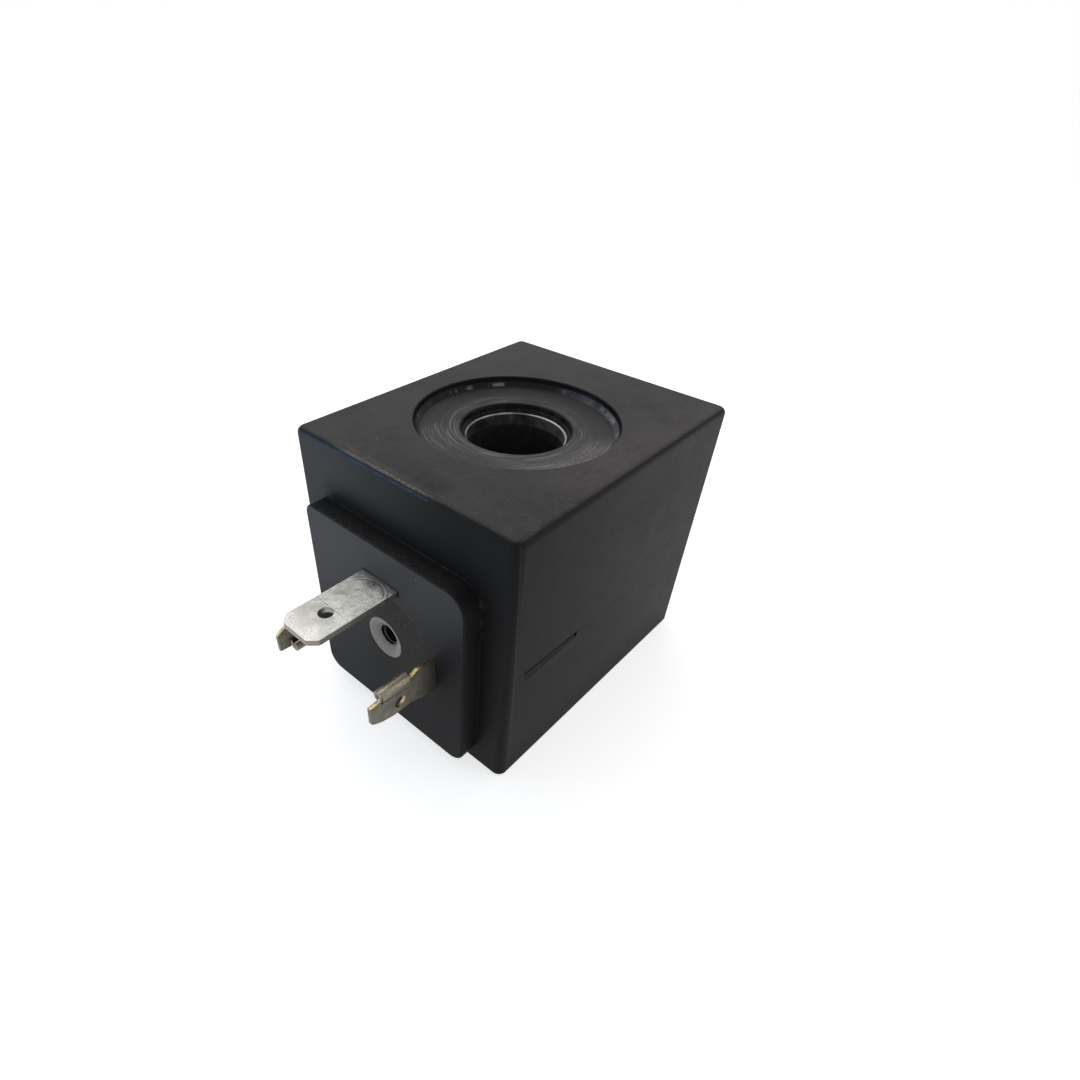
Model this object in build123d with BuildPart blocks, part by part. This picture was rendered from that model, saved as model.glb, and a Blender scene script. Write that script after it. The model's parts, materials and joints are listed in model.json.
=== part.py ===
from build123d import *
import os

# Encapsulated solenoid coil with a three-blade plug base, in millimetres.
# +Z runs up the armature bore, the plug base faces -Y, and the origin is on the bore's axis
# in the plane of the bottom face.

# Moulded casing, and the plastic that it keeps outside the bobbin and the steel frame
case_width = 37.2
case_height = 39.45
side_wall = 3.35
front_wall = 3.91
back_wall = 3.93
top_cover = 2.5
bottom_cover = 2.5
edge_round = 1.1
bottom_edge = 0.4  # chamfer round the bottom face

# Armature bore and the round recess around its top end
bore_dia = 13.2
bore_edge = 0.12  # broken edge of the steel ring
recess_dia = 27.2
recess_depth = 1.4
recess_wall_height = 0.7
recess_wall_draft = 0.1
recess_floor_dia = 25.8
recess_edge = 0.15
throat_dia = 14.6  # lip of the plastic round the steel ring
throat_edge = 0.2
throat_step = 0.12
throat_slope_dia = 13.7  # where the plastic runs out on the steel
throat_slope_height = 0.4

# Plug base on the front face
base_width = 28.3
base_height = 29.5
base_thickness = 2.9
base_bottom_z = 1.85
base_corner = 3.5
base_edge = 0.25

# Sprue scar on the right face: a wedge, deepest along its upper edge
scar_length = 11.46
scar_height = 2.2
scar_depth = 0.35
scar_back_y = -7.59
scar_back_z = 18.25
scar_rise = 0.84  # of the upper edge, towards the front

# Steel frame: a bent strip closed by a front plate
strip_thickness = 2.0
strip_bend = 1.0  # inside radius
joint_tab_width = 10.0
frame_front_gap = 0.9  # from the bobbin's flanges to the front plate
frame_back_gap = 2.3  # from the bobbin's flanges to the back of the frame

# Bobbin, winding and tape
hub_wall = 0.9
flange_thickness = 1.3
flange_slot_width = 1.4
winding_inset = 2.1  # from the rim of a flange to the copper
tape_thickness = 0.2

# Earth blade and its rivet
earth_width = 6.3
earth_thickness = 0.8
earth_drop = 8.55  # below the top leg of the frame
earth_reach = 12.6  # out of the plug base
earth_tip_cut = 1.05
earth_tip_bevel = 0.2
earth_hole_dia = 1.7
earth_hole_from_tip = 4.4
earth_bend = 0.8  # inside radius
rivet_rise = 3.7  # above the top of the blade
rivet_dia = 2.4
rivet_head_dia = 4.4
rivet_head_height = 0.7
lug_end_distance = 2.8  # past the middle of the rivet

# Power contacts: one stamping, used twice, turned half a turn.
# Heights count from the axis of the plug screw, reaches from the face of the plug base.
contact_pitch = 18.3
contact_thickness = 0.5
contact_turn_rise = 0.4  # of the axis of the half turn
root_bottom = -2.65
root_top = 2.25
root_bottom_reach = 2.25
root_top_reach = 3.1
blade_bottom = -1.73
blade_top = 1.4
blade_reach = 3.75  # where the blade proper begins
tip_bottom_reach = 8.8
tip_corner_reach = 9.95
tip_corner = -1.1
tip_reach = 10.4
tip_front_bottom = -0.3
tip_front_top = 1.15
tip_top = 2.0
hem_end_reach = 8.5
hem_top = 2.9
hem_return = 1.3  # length of the leg that comes back down
hem_gap = 0.6  # between the two legs
contact_hole_dia = 1.7
contact_hole_reach = 5.87
contact_hole_height = -0.24
tail_width = 1.4
tail_height = 3.6  # above the root
tail_notch_depth = 1.0

# Carrier of the contacts and its screw boss
boss_dia = 6.26
cone_dia = 5.5
cone_end_dia = 3.1
cone_depth = 0.7
carrier_cover = 2.4  # plastic in front of it
carrier_thickness = 1.2
carrier_margin = 0.9  # beside the contacts
carrier_height = 9.4
carrier_stem_width = 8.0

# Hexagonal threaded insert for the M3 screw of the plug
insert_flats = 4.2  # across its flats
insert_hole_dia = 2.5  # minor diameter of M3
insert_length = 5.0

# Leads from the winding to the contacts
wire_dia = 0.5
wire_bend = 1.0
wire_end_reach = 1.25  # past the middle of the contact
lead_inset = 1.2  # from the side of the winding to the lead
sleeve_frame_gap = 0.35  # between the sleeve and the steel strip
sleeve_dia = 1.2
sleeve_bore_gap = 0.05
sleeve_start_gap = 1.6
sleeve_end_gap = 0.6
solder_dia = 1.8
solder_length = 1.8
solder_gap = 0.2  # behind the carrier

# Radii, and levels across the front and back
bore_radius = bore_dia / 2
hub_radius = bore_radius + hub_wall
flange_radius = case_width / 2 - side_wall
winding_radius = flange_radius - winding_inset
tape_radius = winding_radius + tape_thickness
frame_front_y = -(flange_radius + frame_front_gap + strip_thickness)
frame_back_y = flange_radius + frame_back_gap + strip_thickness
case_front_y = frame_front_y - front_wall
case_back_y = frame_back_y + back_wall
face_y = case_front_y - base_thickness

# Heights of the frame and the bobbin
frame_bottom_z = bottom_cover
frame_top_z = case_height - top_cover
bobbin_bottom_z = frame_bottom_z + strip_thickness
bobbin_top_z = frame_top_z - strip_thickness
window_bottom_z = bobbin_bottom_z + flange_thickness
window_top_z = bobbin_top_z - flange_thickness

# Places of the plug base, the earth blade and the leads
base_centre_z = base_bottom_z + base_height / 2
earth_top_z = bobbin_top_z - earth_drop
earth_tip_y = face_y - earth_reach
rivet_z = earth_top_z + rivet_rise
lug_end_z = rivet_z + lug_end_distance
contact_x = contact_pitch / 2
carrier_width = contact_pitch + contact_thickness + 2 * carrier_margin
carrier_front_y = face_y + carrier_cover
carrier_back_y = carrier_front_y + carrier_thickness
tail_y = carrier_back_y + solder_gap + solder_dia / 2
contact_back_y = tail_y + tail_width / 2
tail_top_z = base_centre_z + root_top + tail_height
insert_front_y = face_y + cone_depth
wire_radius = wire_dia / 2
wire_z = tail_top_z - tail_notch_depth + wire_radius
sleeve_radius = sleeve_dia / 2
wire_x = winding_radius - lead_inset
wire_start_y = -((winding_radius + wire_radius) ** 2 - wire_x**2) ** 0.5
strip_width = 2 * (wire_x - sleeve_radius - sleeve_frame_gap)
contact_turn_axis = Axis((0, 0, base_centre_z + contact_turn_rise), (0, 1, 0))


# Bobbin: a spool with two flanges, the lower one slotted for the inner end of the wire
with BuildPart() as coil_bobbin:
    with BuildSketch(Plane.XZ):
        with BuildLine():
            Polyline(
                (bore_radius, bobbin_bottom_z),
                (flange_radius, bobbin_bottom_z),
                (flange_radius, window_bottom_z),
                (hub_radius, window_bottom_z),
                (hub_radius, window_top_z),
                (flange_radius, window_top_z),
                (flange_radius, bobbin_top_z),
                (bore_radius, bobbin_top_z),
                close=True,
            )
        make_face()
    revolve(axis=Axis.Z)
    with BuildSketch(Plane.XY.offset(bobbin_bottom_z)):
        with Locations((flange_radius, 0)):
            Rectangle(2 * (flange_radius - hub_radius), flange_slot_width)
    extrude(amount=flange_thickness, mode=Mode.SUBTRACT)
coil_bobbin.part.label = "coil_bobbin"

# Copper winding that fills the window of the bobbin
with BuildPart() as copper_winding:
    with BuildSketch(Plane.XY.offset(window_bottom_z)):
        Circle(winding_radius)
        Circle(hub_radius, mode=Mode.SUBTRACT)
    extrude(amount=window_top_z - window_bottom_z)
copper_winding.part.label = "copper_winding"

# Window in the tape where the right lead comes out
with BuildPart() as lead_window:
    with BuildSketch(Plane.XY.offset(wire_z - sleeve_radius)):
        with Locations((wire_x, wire_start_y - wire_radius)):
            Rectangle(sleeve_dia, 2 * sleeve_dia)
    extrude(amount=sleeve_dia)

# Insulating tape round the winding, with a window for each lead
with BuildPart() as winding_tape:
    with BuildSketch(Plane.XY.offset(window_bottom_z)):
        Circle(tape_radius)
        Circle(winding_radius, mode=Mode.SUBTRACT)
    extrude(amount=window_top_z - window_bottom_z)
    add(lead_window.part, mode=Mode.SUBTRACT)
    add(lead_window.part.rotate(contact_turn_axis, 180), mode=Mode.SUBTRACT)
winding_tape.part.label = "winding_tape"

# Steel frame: a strip bent to a U round the bobbin, open at the front, with the bore through it
with BuildPart() as yoke_frame:
    with BuildSketch(Plane.YZ):
        with BuildLine():
            outside = FilletPolyline(
                (frame_front_y, frame_bottom_z),
                (frame_back_y, frame_bottom_z),
                (frame_back_y, frame_top_z),
                (frame_front_y, frame_top_z),
                radius=strip_bend + strip_thickness,
            )
            inside = FilletPolyline(
                (frame_front_y, bobbin_bottom_z),
                (frame_back_y - strip_thickness, bobbin_bottom_z),
                (frame_back_y - strip_thickness, bobbin_top_z),
                (frame_front_y, bobbin_top_z),
                radius=strip_bend,
            )
            Line(outside @ 0, inside @ 0)
            Line(outside @ 1, inside @ 1)
        make_face()
    extrude(amount=strip_width / 2, both=True)
    with BuildSketch(Plane.XY):
        Circle(bore_radius)
        with Locations((0, frame_front_y)):
            Rectangle(joint_tab_width, 2 * strip_thickness)
    extrude(amount=case_height, mode=Mode.SUBTRACT)
    top_edges = yoke_frame.faces().sort_by(Axis.Z)[-1].edges()
    chamfer(top_edges.filter_by(GeomType.CIRCLE), length=bore_edge)
yoke_frame.part.label = "yoke_frame"

# Front plate that closes the frame, with a tab in the notch of each leg
with BuildPart() as yoke_front_plate:
    with BuildSketch(Plane.XZ.offset(-frame_front_y)):
        with Locations((0, (bobbin_bottom_z + bobbin_top_z) / 2)):
            Rectangle(strip_width, bobbin_top_z - bobbin_bottom_z)
        with Locations((0, (frame_bottom_z + frame_top_z) / 2)):
            Rectangle(joint_tab_width, frame_top_z - frame_bottom_z)
        with Locations((0, rivet_z)):
            Circle(rivet_dia / 2, mode=Mode.SUBTRACT)
    extrude(amount=-strip_thickness)
yoke_front_plate.part.label = "yoke_front_plate"

# Earth blade: a flat tab that turns up against the front plate
with BuildPart() as earth_blade:
    with BuildSketch(Plane.YZ):
        with BuildLine():
            upper = FilletPolyline(
                (earth_tip_y, earth_top_z),
                (frame_front_y - earth_thickness, earth_top_z),
                (frame_front_y - earth_thickness, lug_end_z),
                radius=earth_bend,
            )
            lower = FilletPolyline(
                (earth_tip_y, earth_top_z - earth_thickness),
                (frame_front_y, earth_top_z - earth_thickness),
                (frame_front_y, lug_end_z),
                radius=earth_bend + earth_thickness,
            )
            Line(upper @ 0, lower @ 0)
            Line(upper @ 1, lower @ 1)
        make_face()
    extrude(amount=earth_width / 2, both=True)
    tip_corners = earth_blade.edges().filter_by(Axis.Z).group_by(Axis.Y)[0]
    chamfer(tip_corners, length=earth_tip_cut)
    tip_rim = earth_blade.faces().filter_by(Axis.Y).sort_by(Axis.Y)[0].edges().filter_by(Axis.X)
    chamfer(tip_rim, length=earth_tip_bevel)
    with BuildSketch(Plane.XY.offset(earth_top_z)):
        with Locations((0, earth_tip_y + earth_hole_from_tip)):
            Circle(earth_hole_dia / 2)
    extrude(amount=-earth_thickness, mode=Mode.SUBTRACT)
    with BuildSketch(Plane.XZ.offset(-frame_front_y)):
        with Locations((0, rivet_z)):
            Circle(rivet_dia / 2)
    extrude(amount=earth_thickness, mode=Mode.SUBTRACT)
earth_blade.part.label = "earth_blade"

# Rivet through the lug of the earth blade and the front plate
rivet_front_y = frame_front_y - earth_thickness
rivet_back_y = frame_front_y + strip_thickness
with BuildPart() as earth_rivet:
    with BuildSketch(Plane.XZ.offset(-rivet_front_y)):
        with Locations((0, rivet_z)):
            Circle(rivet_head_dia / 2)
    extrude(amount=rivet_head_height)
    with BuildSketch(Plane.XZ.offset(-rivet_front_y)):
        with Locations((0, rivet_z)):
            Circle(rivet_dia / 2)
    extrude(amount=rivet_front_y - rivet_back_y)
    with BuildSketch(Plane.XZ.offset(-rivet_back_y)):
        with Locations((0, rivet_z)):
            Circle(rivet_head_dia / 2)
    extrude(amount=-rivet_head_height)
earth_rivet.part.label = "earth_rivet"

# Right power contact: a stamped blade with a hem rolled inwards from its upper edge
hem_radius = (contact_thickness + hem_gap) / 2
hem_start_z = base_centre_z + blade_top
hem_bend_z = base_centre_z + hem_top - hem_radius - contact_thickness / 2
with BuildPart() as power_contact_right:
    with BuildSketch(Plane.YZ.offset(contact_x)):
        with BuildLine():
            Polyline(
                (contact_back_y, base_centre_z + root_bottom),
                (face_y - root_bottom_reach, base_centre_z + root_bottom),
                (face_y - blade_reach, base_centre_z + blade_bottom),
                (face_y - tip_bottom_reach, base_centre_z + blade_bottom),
                (face_y - tip_corner_reach, base_centre_z + tip_corner),
                (face_y - tip_reach, base_centre_z + tip_front_bottom),
                (face_y - tip_reach, base_centre_z + tip_front_top),
                (face_y - hem_end_reach, base_centre_z + tip_top),
                (face_y - hem_end_reach, hem_start_z),
                (face_y - blade_reach, hem_start_z),
                (face_y - root_top_reach, base_centre_z + root_top),
                (contact_back_y - tail_width, base_centre_z + root_top),
                (contact_back_y - tail_width, tail_top_z),
                (contact_back_y, tail_top_z),
                close=True,
            )
        make_face()
        with Locations((face_y - contact_hole_reach, base_centre_z + contact_hole_height)):
            Circle(contact_hole_dia / 2, mode=Mode.SUBTRACT)
        with Locations((tail_y, wire_z)):
            Circle(wire_radius, mode=Mode.SUBTRACT)
        with Locations((tail_y, wire_z + tail_notch_depth / 2)):
            Rectangle(wire_dia, tail_notch_depth, mode=Mode.SUBTRACT)
    extrude(amount=contact_thickness / 2, both=True)
    with BuildSketch(Plane.XZ.offset(hem_end_reach - face_y)):
        with BuildLine():
            rise = Line((contact_x, hem_start_z), (contact_x, hem_bend_z))
            roll = JernArc(start=rise @ 1, tangent=rise % 1, radius=hem_radius, arc_size=180)
            Line(roll @ 1, roll @ 1 - (0, hem_return))
        trace(line_width=contact_thickness)
    extrude(amount=blade_reach - hem_end_reach)
power_contact_right.part.label = "power_contact_right"

with BuildPart() as power_contact_left:
    add(power_contact_right.part.rotate(contact_turn_axis, 180))
power_contact_left.part.label = "power_contact_left"

# Threaded insert: a hexagonal bush, which can't turn in the carrier; its thread is left plain
with BuildPart() as screw_insert:
    with BuildSketch(Plane.XZ.offset(-insert_front_y)):
        with Locations((0, base_centre_z)):
            RegularPolygon(radius=insert_flats / 2, side_count=6, major_radius=False)
            Circle(insert_hole_dia / 2, mode=Mode.SUBTRACT)
    extrude(amount=-insert_length)
screw_insert.part.label = "screw_insert"

# Carrier: a pale moulding that holds the contacts in line, with the boss for the plug screw
stem_height = earth_top_z - earth_thickness - base_centre_z
with BuildPart() as terminal_carrier:
    with BuildSketch(Plane.XZ.offset(-carrier_front_y)):
        with Locations((0, base_centre_z)):
            Rectangle(carrier_width, carrier_height)
        with Locations((0, base_centre_z + stem_height / 2)):
            Rectangle(carrier_stem_width, stem_height)
    extrude(amount=-carrier_thickness)
    with BuildSketch(Plane.XZ.offset(-carrier_front_y)):
        with Locations((0, base_centre_z)):
            Rectangle(carrier_stem_width, carrier_height)
    extrude(amount=carrier_front_y - frame_front_y)
    with BuildSketch(Plane.XZ.offset(-face_y)):
        with Locations((0, base_centre_z)):
            Circle(boss_dia / 2)
    extrude(amount=-carrier_cover)
    with BuildSketch(Plane.XZ.offset(-face_y)):
        with Locations((0, base_centre_z)):
            Circle(cone_dia / 2)
    with BuildSketch(Plane.XZ.offset(-insert_front_y)):
        with Locations((0, base_centre_z)):
            Circle(cone_end_dia / 2)
    loft(mode=Mode.SUBTRACT)
    with BuildSketch(Plane.XZ.offset(-insert_front_y)):
        with Locations((0, base_centre_z)):
            Circle(cone_end_dia / 2)
    extrude(amount=-insert_length, mode=Mode.SUBTRACT)
    add(screw_insert.part, mode=Mode.SUBTRACT)
    add(power_contact_right.part, mode=Mode.SUBTRACT)
    add(power_contact_left.part, mode=Mode.SUBTRACT)
terminal_carrier.part.label = "terminal_carrier"

# Leads: the two ends of the winding, each laid in the notch of a contact's tail
with BuildPart() as winding_lead_right:
    with BuildLine(Plane.XY.offset(wire_z)) as lead_route:
        Polyline(
            (wire_x, wire_start_y),
            (wire_x, tail_y + wire_bend),
            (wire_x - wire_bend, tail_y),
            (contact_x - wire_end_reach, tail_y),
        )
    with BuildSketch(Plane(origin=(wire_x, wire_start_y, wire_z), z_dir=(0, -1, 0))):
        Circle(wire_radius)
    sweep(path=lead_route.line, transition=Transition.RIGHT)
winding_lead_right.part.label = "winding_lead_right"

with BuildPart() as winding_lead_left:
    add(winding_lead_right.part.rotate(contact_turn_axis, 180))
winding_lead_left.part.label = "winding_lead_left"

# Sleeves that keep the leads off the steel frame
sleeve_start_y = wire_start_y - sleeve_start_gap
sleeve_end_y = tail_y + wire_bend + sleeve_end_gap
with BuildPart() as lead_sleeve_right:
    with BuildSketch(Plane.XZ.offset(-sleeve_start_y)):
        with Locations((wire_x, wire_z)):
            Circle(sleeve_radius)
            Circle(wire_radius + sleeve_bore_gap, mode=Mode.SUBTRACT)
    extrude(amount=sleeve_start_y - sleeve_end_y)
lead_sleeve_right.part.label = "lead_sleeve_right"

with BuildPart() as lead_sleeve_left:
    add(lead_sleeve_right.part.rotate(contact_turn_axis, 180))
lead_sleeve_left.part.label = "lead_sleeve_left"

# Solder that joins each lead to its contact: a collar round the wire and the tail
with BuildPart() as solder_joint_right:
    with BuildSketch(Plane.YZ.offset(contact_x)):
        with Locations((tail_y, wire_z)):
            Circle(solder_dia / 2)
    extrude(amount=solder_length / 2, both=True)
    add(power_contact_right.part, mode=Mode.SUBTRACT)
    add(winding_lead_right.part, mode=Mode.SUBTRACT)
solder_joint_right.part.label = "solder_joint_right"

with BuildPart() as solder_joint_left:
    add(solder_joint_right.part.rotate(contact_turn_axis, 180))
solder_joint_left.part.label = "solder_joint_left"

# Space in the casing for the right contact, its lead, sleeve and solder
with BuildPart() as contact_space:
    with BuildSketch(Plane.YZ.offset(contact_x)):
        with BuildLine():
            Polyline(
                (face_y - base_thickness, base_centre_z + root_bottom),
                (contact_back_y, base_centre_z + root_bottom),
                (contact_back_y, tail_top_z),
                (contact_back_y - tail_width, tail_top_z),
                (contact_back_y - tail_width, base_centre_z + root_top),
                (face_y - base_thickness, base_centre_z + root_top),
                close=True,
            )
        make_face()
    extrude(amount=contact_thickness / 2, both=True)
    with BuildSketch(Plane.XY.offset(wire_z - sleeve_radius)):
        with BuildLine():
            Polyline(
                (wire_x - sleeve_radius, wire_start_y),
                (wire_x - sleeve_radius, tail_y + sleeve_radius),
                (contact_x, tail_y + sleeve_radius),
                (contact_x, tail_y - sleeve_radius),
                (wire_x + sleeve_radius, tail_y - sleeve_radius),
                (wire_x + sleeve_radius, wire_start_y),
                close=True,
            )
        make_face()
    extrude(amount=sleeve_dia)
    with BuildSketch(Plane.XY.offset(wire_z - solder_dia / 2)):
        with Locations((contact_x, tail_y)):
            Rectangle(2 * wire_end_reach, solder_dia)
    extrude(amount=solder_dia)

# Casing: moulded round everything else, with the plug base, the recess and the bore
recess_floor_z = case_height - recess_depth
throat_slope_z = frame_top_z + throat_slope_height
with BuildPart() as moulded_casing:
    with BuildSketch(Plane.XY):
        with Locations((0, (case_back_y + case_front_y) / 2)):
            Rectangle(case_width, case_back_y - case_front_y)
    extrude(amount=case_height)
    top_rim = moulded_casing.faces().sort_by(Axis.Z)[-1].edges()
    fillet(moulded_casing.edges().filter_by(Axis.Z) + top_rim, edge_round)
    chamfer(moulded_casing.faces().sort_by(Axis.Z)[0].edges(), bottom_edge)

    with BuildSketch(Plane.XZ.offset(-case_front_y)):
        with Locations((0, base_centre_z)):
            RectangleRounded(base_width, base_height, base_corner)
    extrude(amount=base_thickness)
    chamfer(moulded_casing.faces().sort_by(Axis.Y)[0].edges(), base_edge)

    with BuildSketch(Plane.XZ):
        with BuildLine():
            Polyline(
                (0, case_height),
                (recess_dia / 2 + recess_edge, case_height),
                (recess_dia / 2, case_height - recess_edge),
                (recess_dia / 2 - recess_wall_draft, case_height - recess_wall_height),
                (recess_floor_dia / 2, recess_floor_z),
                (throat_dia / 2 + throat_edge, recess_floor_z),
                (throat_dia / 2, recess_floor_z - throat_edge),
                (throat_dia / 2 - throat_step, throat_slope_z),
                (throat_slope_dia / 2, frame_top_z),
                (bore_radius + bore_edge, frame_top_z),
                (bore_radius, frame_top_z - bore_edge),
                (0, frame_top_z - bore_edge),
                close=True,
            )
        make_face()
    revolve(axis=Axis.Z, mode=Mode.SUBTRACT)
    with BuildSketch(Plane.XY):
        Circle(bore_radius)
    extrude(amount=case_height, mode=Mode.SUBTRACT)

    scar_start = (case_width / 2, scar_back_y, scar_back_z)
    with BuildSketch(Plane(origin=scar_start, x_dir=(1, 0, 0), z_dir=(0, -scar_length, scar_rise))):
        with BuildLine():
            Polyline((0, 0), (-scar_depth, 0), (0, -scar_height), (scar_depth, 0), close=True)
        make_face()
    extrude(amount=scar_length, mode=Mode.SUBTRACT)

    with BuildSketch(Plane.XZ):
        with BuildLine():
            Polyline(
                (0, bobbin_bottom_z),
                (flange_radius, bobbin_bottom_z),
                (flange_radius, window_bottom_z),
                (tape_radius, window_bottom_z),
                (tape_radius, window_top_z),
                (flange_radius, window_top_z),
                (flange_radius, bobbin_top_z),
                (0, bobbin_top_z),
                close=True,
            )
        make_face()
    revolve(axis=Axis.Z, mode=Mode.SUBTRACT)
    with BuildSketch(Plane.XZ.offset(-face_y)):
        with Locations((0, base_centre_z)):
            Circle(boss_dia / 2)
    extrude(amount=-carrier_cover, mode=Mode.SUBTRACT)
    with BuildSketch(Plane.XZ.offset(-insert_front_y)):
        with Locations((0, base_centre_z)):
            RegularPolygon(radius=insert_flats / 2, side_count=6, major_radius=False)
    extrude(amount=-insert_length, mode=Mode.SUBTRACT)
    with BuildSketch(Plane.XZ.offset(rivet_head_height - rivet_front_y)):
        with Locations((0, rivet_z)):
            Rectangle(rivet_head_dia, rivet_head_dia)
    extrude(amount=rivet_front_y - rivet_back_y - 2 * rivet_head_height, mode=Mode.SUBTRACT)
    add(contact_space.part, mode=Mode.SUBTRACT)
    add(contact_space.part.rotate(contact_turn_axis, 180), mode=Mode.SUBTRACT)
    add(terminal_carrier.part, mode=Mode.SUBTRACT)
    add(earth_blade.part, mode=Mode.SUBTRACT)
    add(yoke_frame.part, mode=Mode.SUBTRACT)
    add(yoke_front_plate.part, mode=Mode.SUBTRACT)
moulded_casing.part.label = "moulded_casing"

os.makedirs("parts", exist_ok=True)
for piece in (
    moulded_casing,
    coil_bobbin,
    copper_winding,
    winding_tape,
    yoke_frame,
    yoke_front_plate,
    earth_blade,
    earth_rivet,
    power_contact_right,
    power_contact_left,
    terminal_carrier,
    screw_insert,
    winding_lead_right,
    winding_lead_left,
    lead_sleeve_right,
    lead_sleeve_left,
    solder_joint_right,
    solder_joint_left,
):
    export_step(piece.part, f"parts/{piece.part.label}.step")
    print(piece.part.label, len(piece.part.solids()), round(piece.part.volume, 2))
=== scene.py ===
# %% [markdown]
# This lesson dresses a solenoid valve coil. On the real thing a black block of moulded
# plastic hides a bobbin, a copper winding and a steel frame. Only a steel ring in the
# throat, three plug blades and a pale screw boss show. The measured model comes in first,
# as a fixed frame, and every new piece is placed by its sizes.

# %% Load the measured model
import bmesh
import bpy
import json
import math
from mathutils import Euler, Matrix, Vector


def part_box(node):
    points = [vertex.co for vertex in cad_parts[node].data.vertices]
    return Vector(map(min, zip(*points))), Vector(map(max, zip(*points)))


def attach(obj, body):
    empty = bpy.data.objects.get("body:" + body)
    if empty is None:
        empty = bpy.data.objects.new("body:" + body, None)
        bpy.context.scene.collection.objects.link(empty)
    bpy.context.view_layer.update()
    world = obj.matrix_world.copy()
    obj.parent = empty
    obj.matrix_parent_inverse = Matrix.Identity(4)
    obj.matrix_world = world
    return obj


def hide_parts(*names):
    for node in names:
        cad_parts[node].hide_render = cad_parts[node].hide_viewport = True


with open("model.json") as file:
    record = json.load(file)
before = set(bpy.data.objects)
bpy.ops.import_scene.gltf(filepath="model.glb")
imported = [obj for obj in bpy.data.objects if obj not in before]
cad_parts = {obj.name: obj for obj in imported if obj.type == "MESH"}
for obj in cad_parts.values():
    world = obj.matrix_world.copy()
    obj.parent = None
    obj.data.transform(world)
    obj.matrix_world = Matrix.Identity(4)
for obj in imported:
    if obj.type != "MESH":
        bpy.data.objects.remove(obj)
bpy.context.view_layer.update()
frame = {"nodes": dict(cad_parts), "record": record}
mm = 0.001

# %% [markdown]
# The picture was taken from above the right front corner with a wide lens, close to the
# object. The photograph had been cropped afterwards, so its centre isn't the lens's centre.
# A small shift of the lens stands for that crop.

# %% Camera
camera_data = bpy.data.cameras.new("photo_camera")
camera_data.sensor_width = 36.0
camera_data.lens = 21.309
camera_data.shift_x = 0.06364
camera_data.shift_y = 0.05083
camera_data.clip_start = 0.005
camera = bpy.data.objects.new("photo_camera", camera_data)
camera.location = (48.593 * mm, -62.548 * mm, 76.363 * mm)
camera.rotation_euler = Euler([math.radians(a) for a in (49.3009, -1.193, 42.741)])
bpy.context.scene.collection.objects.link(camera)
bpy.context.scene.camera = camera

# %% [markdown]
# Black plastic shows its form by what it mirrors. A broad lamp behind the left shoulder of the coil
# makes a soft sheen on the top, one at the back right lifts the right face, and a weak bluish one at
# the front left lights the line along the front edge, where a blue reflection is painted as well.

# %% Lamps
def add_lamp(name, place, target, size, watts, colour=(1, 1, 1)):
    data = bpy.data.lights.new(name, "AREA")
    data.shape = "RECTANGLE"
    data.size = size[0]
    data.size_y = size[1]
    data.energy = watts
    data.color = colour
    lamp = bpy.data.objects.new(name, data)
    lamp.location = place
    lamp.rotation_euler = (Vector(target) - Vector(place)).to_track_quat("-Z", "Y").to_euler()
    bpy.context.scene.collection.objects.link(lamp)
    return lamp


middle = (0, 0, 0.02)
add_lamp("top_lamp", (-0.16, 0.10, 0.38), middle, (0.34, 0.28), 0.62)
add_lamp("right_lamp", (0.34, 0.26, 0.20), middle, (0.26, 0.22), 0.30)
add_lamp("front_lamp", (-0.33, -0.24, 0.13), middle, (0.18, 0.14), 0.34, (0.55, 0.76, 1.0))

# %% [markdown]
# Every finish is a small network of noise and masks on the piece's own coordinates. These
# helpers make the nodes. Lengths in the networks are millimetres, so a scratch or a grain has
# its real size.

# %% Helpers for finishes
class Field:
    """A value at every point, from a node. Sums and products of fields make further nodes."""

    def __init__(self, node, output=0):
        self.socket = node.outputs[output]
        self.tree = node.id_data

    def __add__(self, other):
        return calc("ADD", self, other)

    __radd__ = __add__

    def __sub__(self, other):
        return calc("SUBTRACT", self, other)

    def __rsub__(self, other):
        return calc("SUBTRACT", other, self)

    def __mul__(self, other):
        return calc("MULTIPLY", self, other)

    def __truediv__(self, other):
        return calc("DIVIDE", self, other)

    def __neg__(self):
        return self * -1.0


def feed(socket, value):
    """Sets a socket to a number or colour, or links a field to it."""
    if isinstance(value, Field):
        value.tree.links.new(value.socket, socket)
    elif isinstance(value, tuple) and len(value) < len(socket.default_value):
        socket.default_value = (*value, 1)
    else:
        socket.default_value = value


def add_node(kind, inputs, tree=None, **options):
    """Adds a node beside the fields that feed it, or to the tree that is given."""
    tree = tree or next(value.tree for value in inputs.values() if isinstance(value, Field))
    node = tree.nodes.new("ShaderNode" + kind)
    for name, value in options.items():
        setattr(node, name, value)
    for key, value in inputs.items():
        feed(node.inputs[key], value)
    return node


def calc(operation, *values):
    return Field(add_node("Math", dict(enumerate(values)), operation=operation))


def spread(value, low, high, new_low=0.0, new_high=1.0):
    """Maps low..high to new_low..new_high with soft, clamped ends."""
    inputs = dict(enumerate((value, low, high, new_low, new_high)))
    return Field(add_node("MapRange", inputs, interpolation_type="SMOOTHSTEP"))


def band(value, middle, half, soft):
    """1 where the value is within half of the middle, 0 further out."""
    return spread(calc("ABSOLUTE", value - middle), half, half + soft, 1.0, 0.0)


def vector(first, second):
    return Field(add_node("CombineXYZ", {0: first, 1: second}))


def noise(place, size, detail=3.0, rough=0.55, stretch=(1, 1, 1)):
    """Noise whose features are about this size in millimetres."""
    scaled = Field(add_node("Mapping", {"Vector": place, "Scale": tuple(s / size for s in stretch)}))
    inputs = {"Vector": scaled, "Scale": 1.0, "Detail": detail, "Roughness": rough}
    return Field(add_node("TexNoise", inputs), "Fac")


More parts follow.
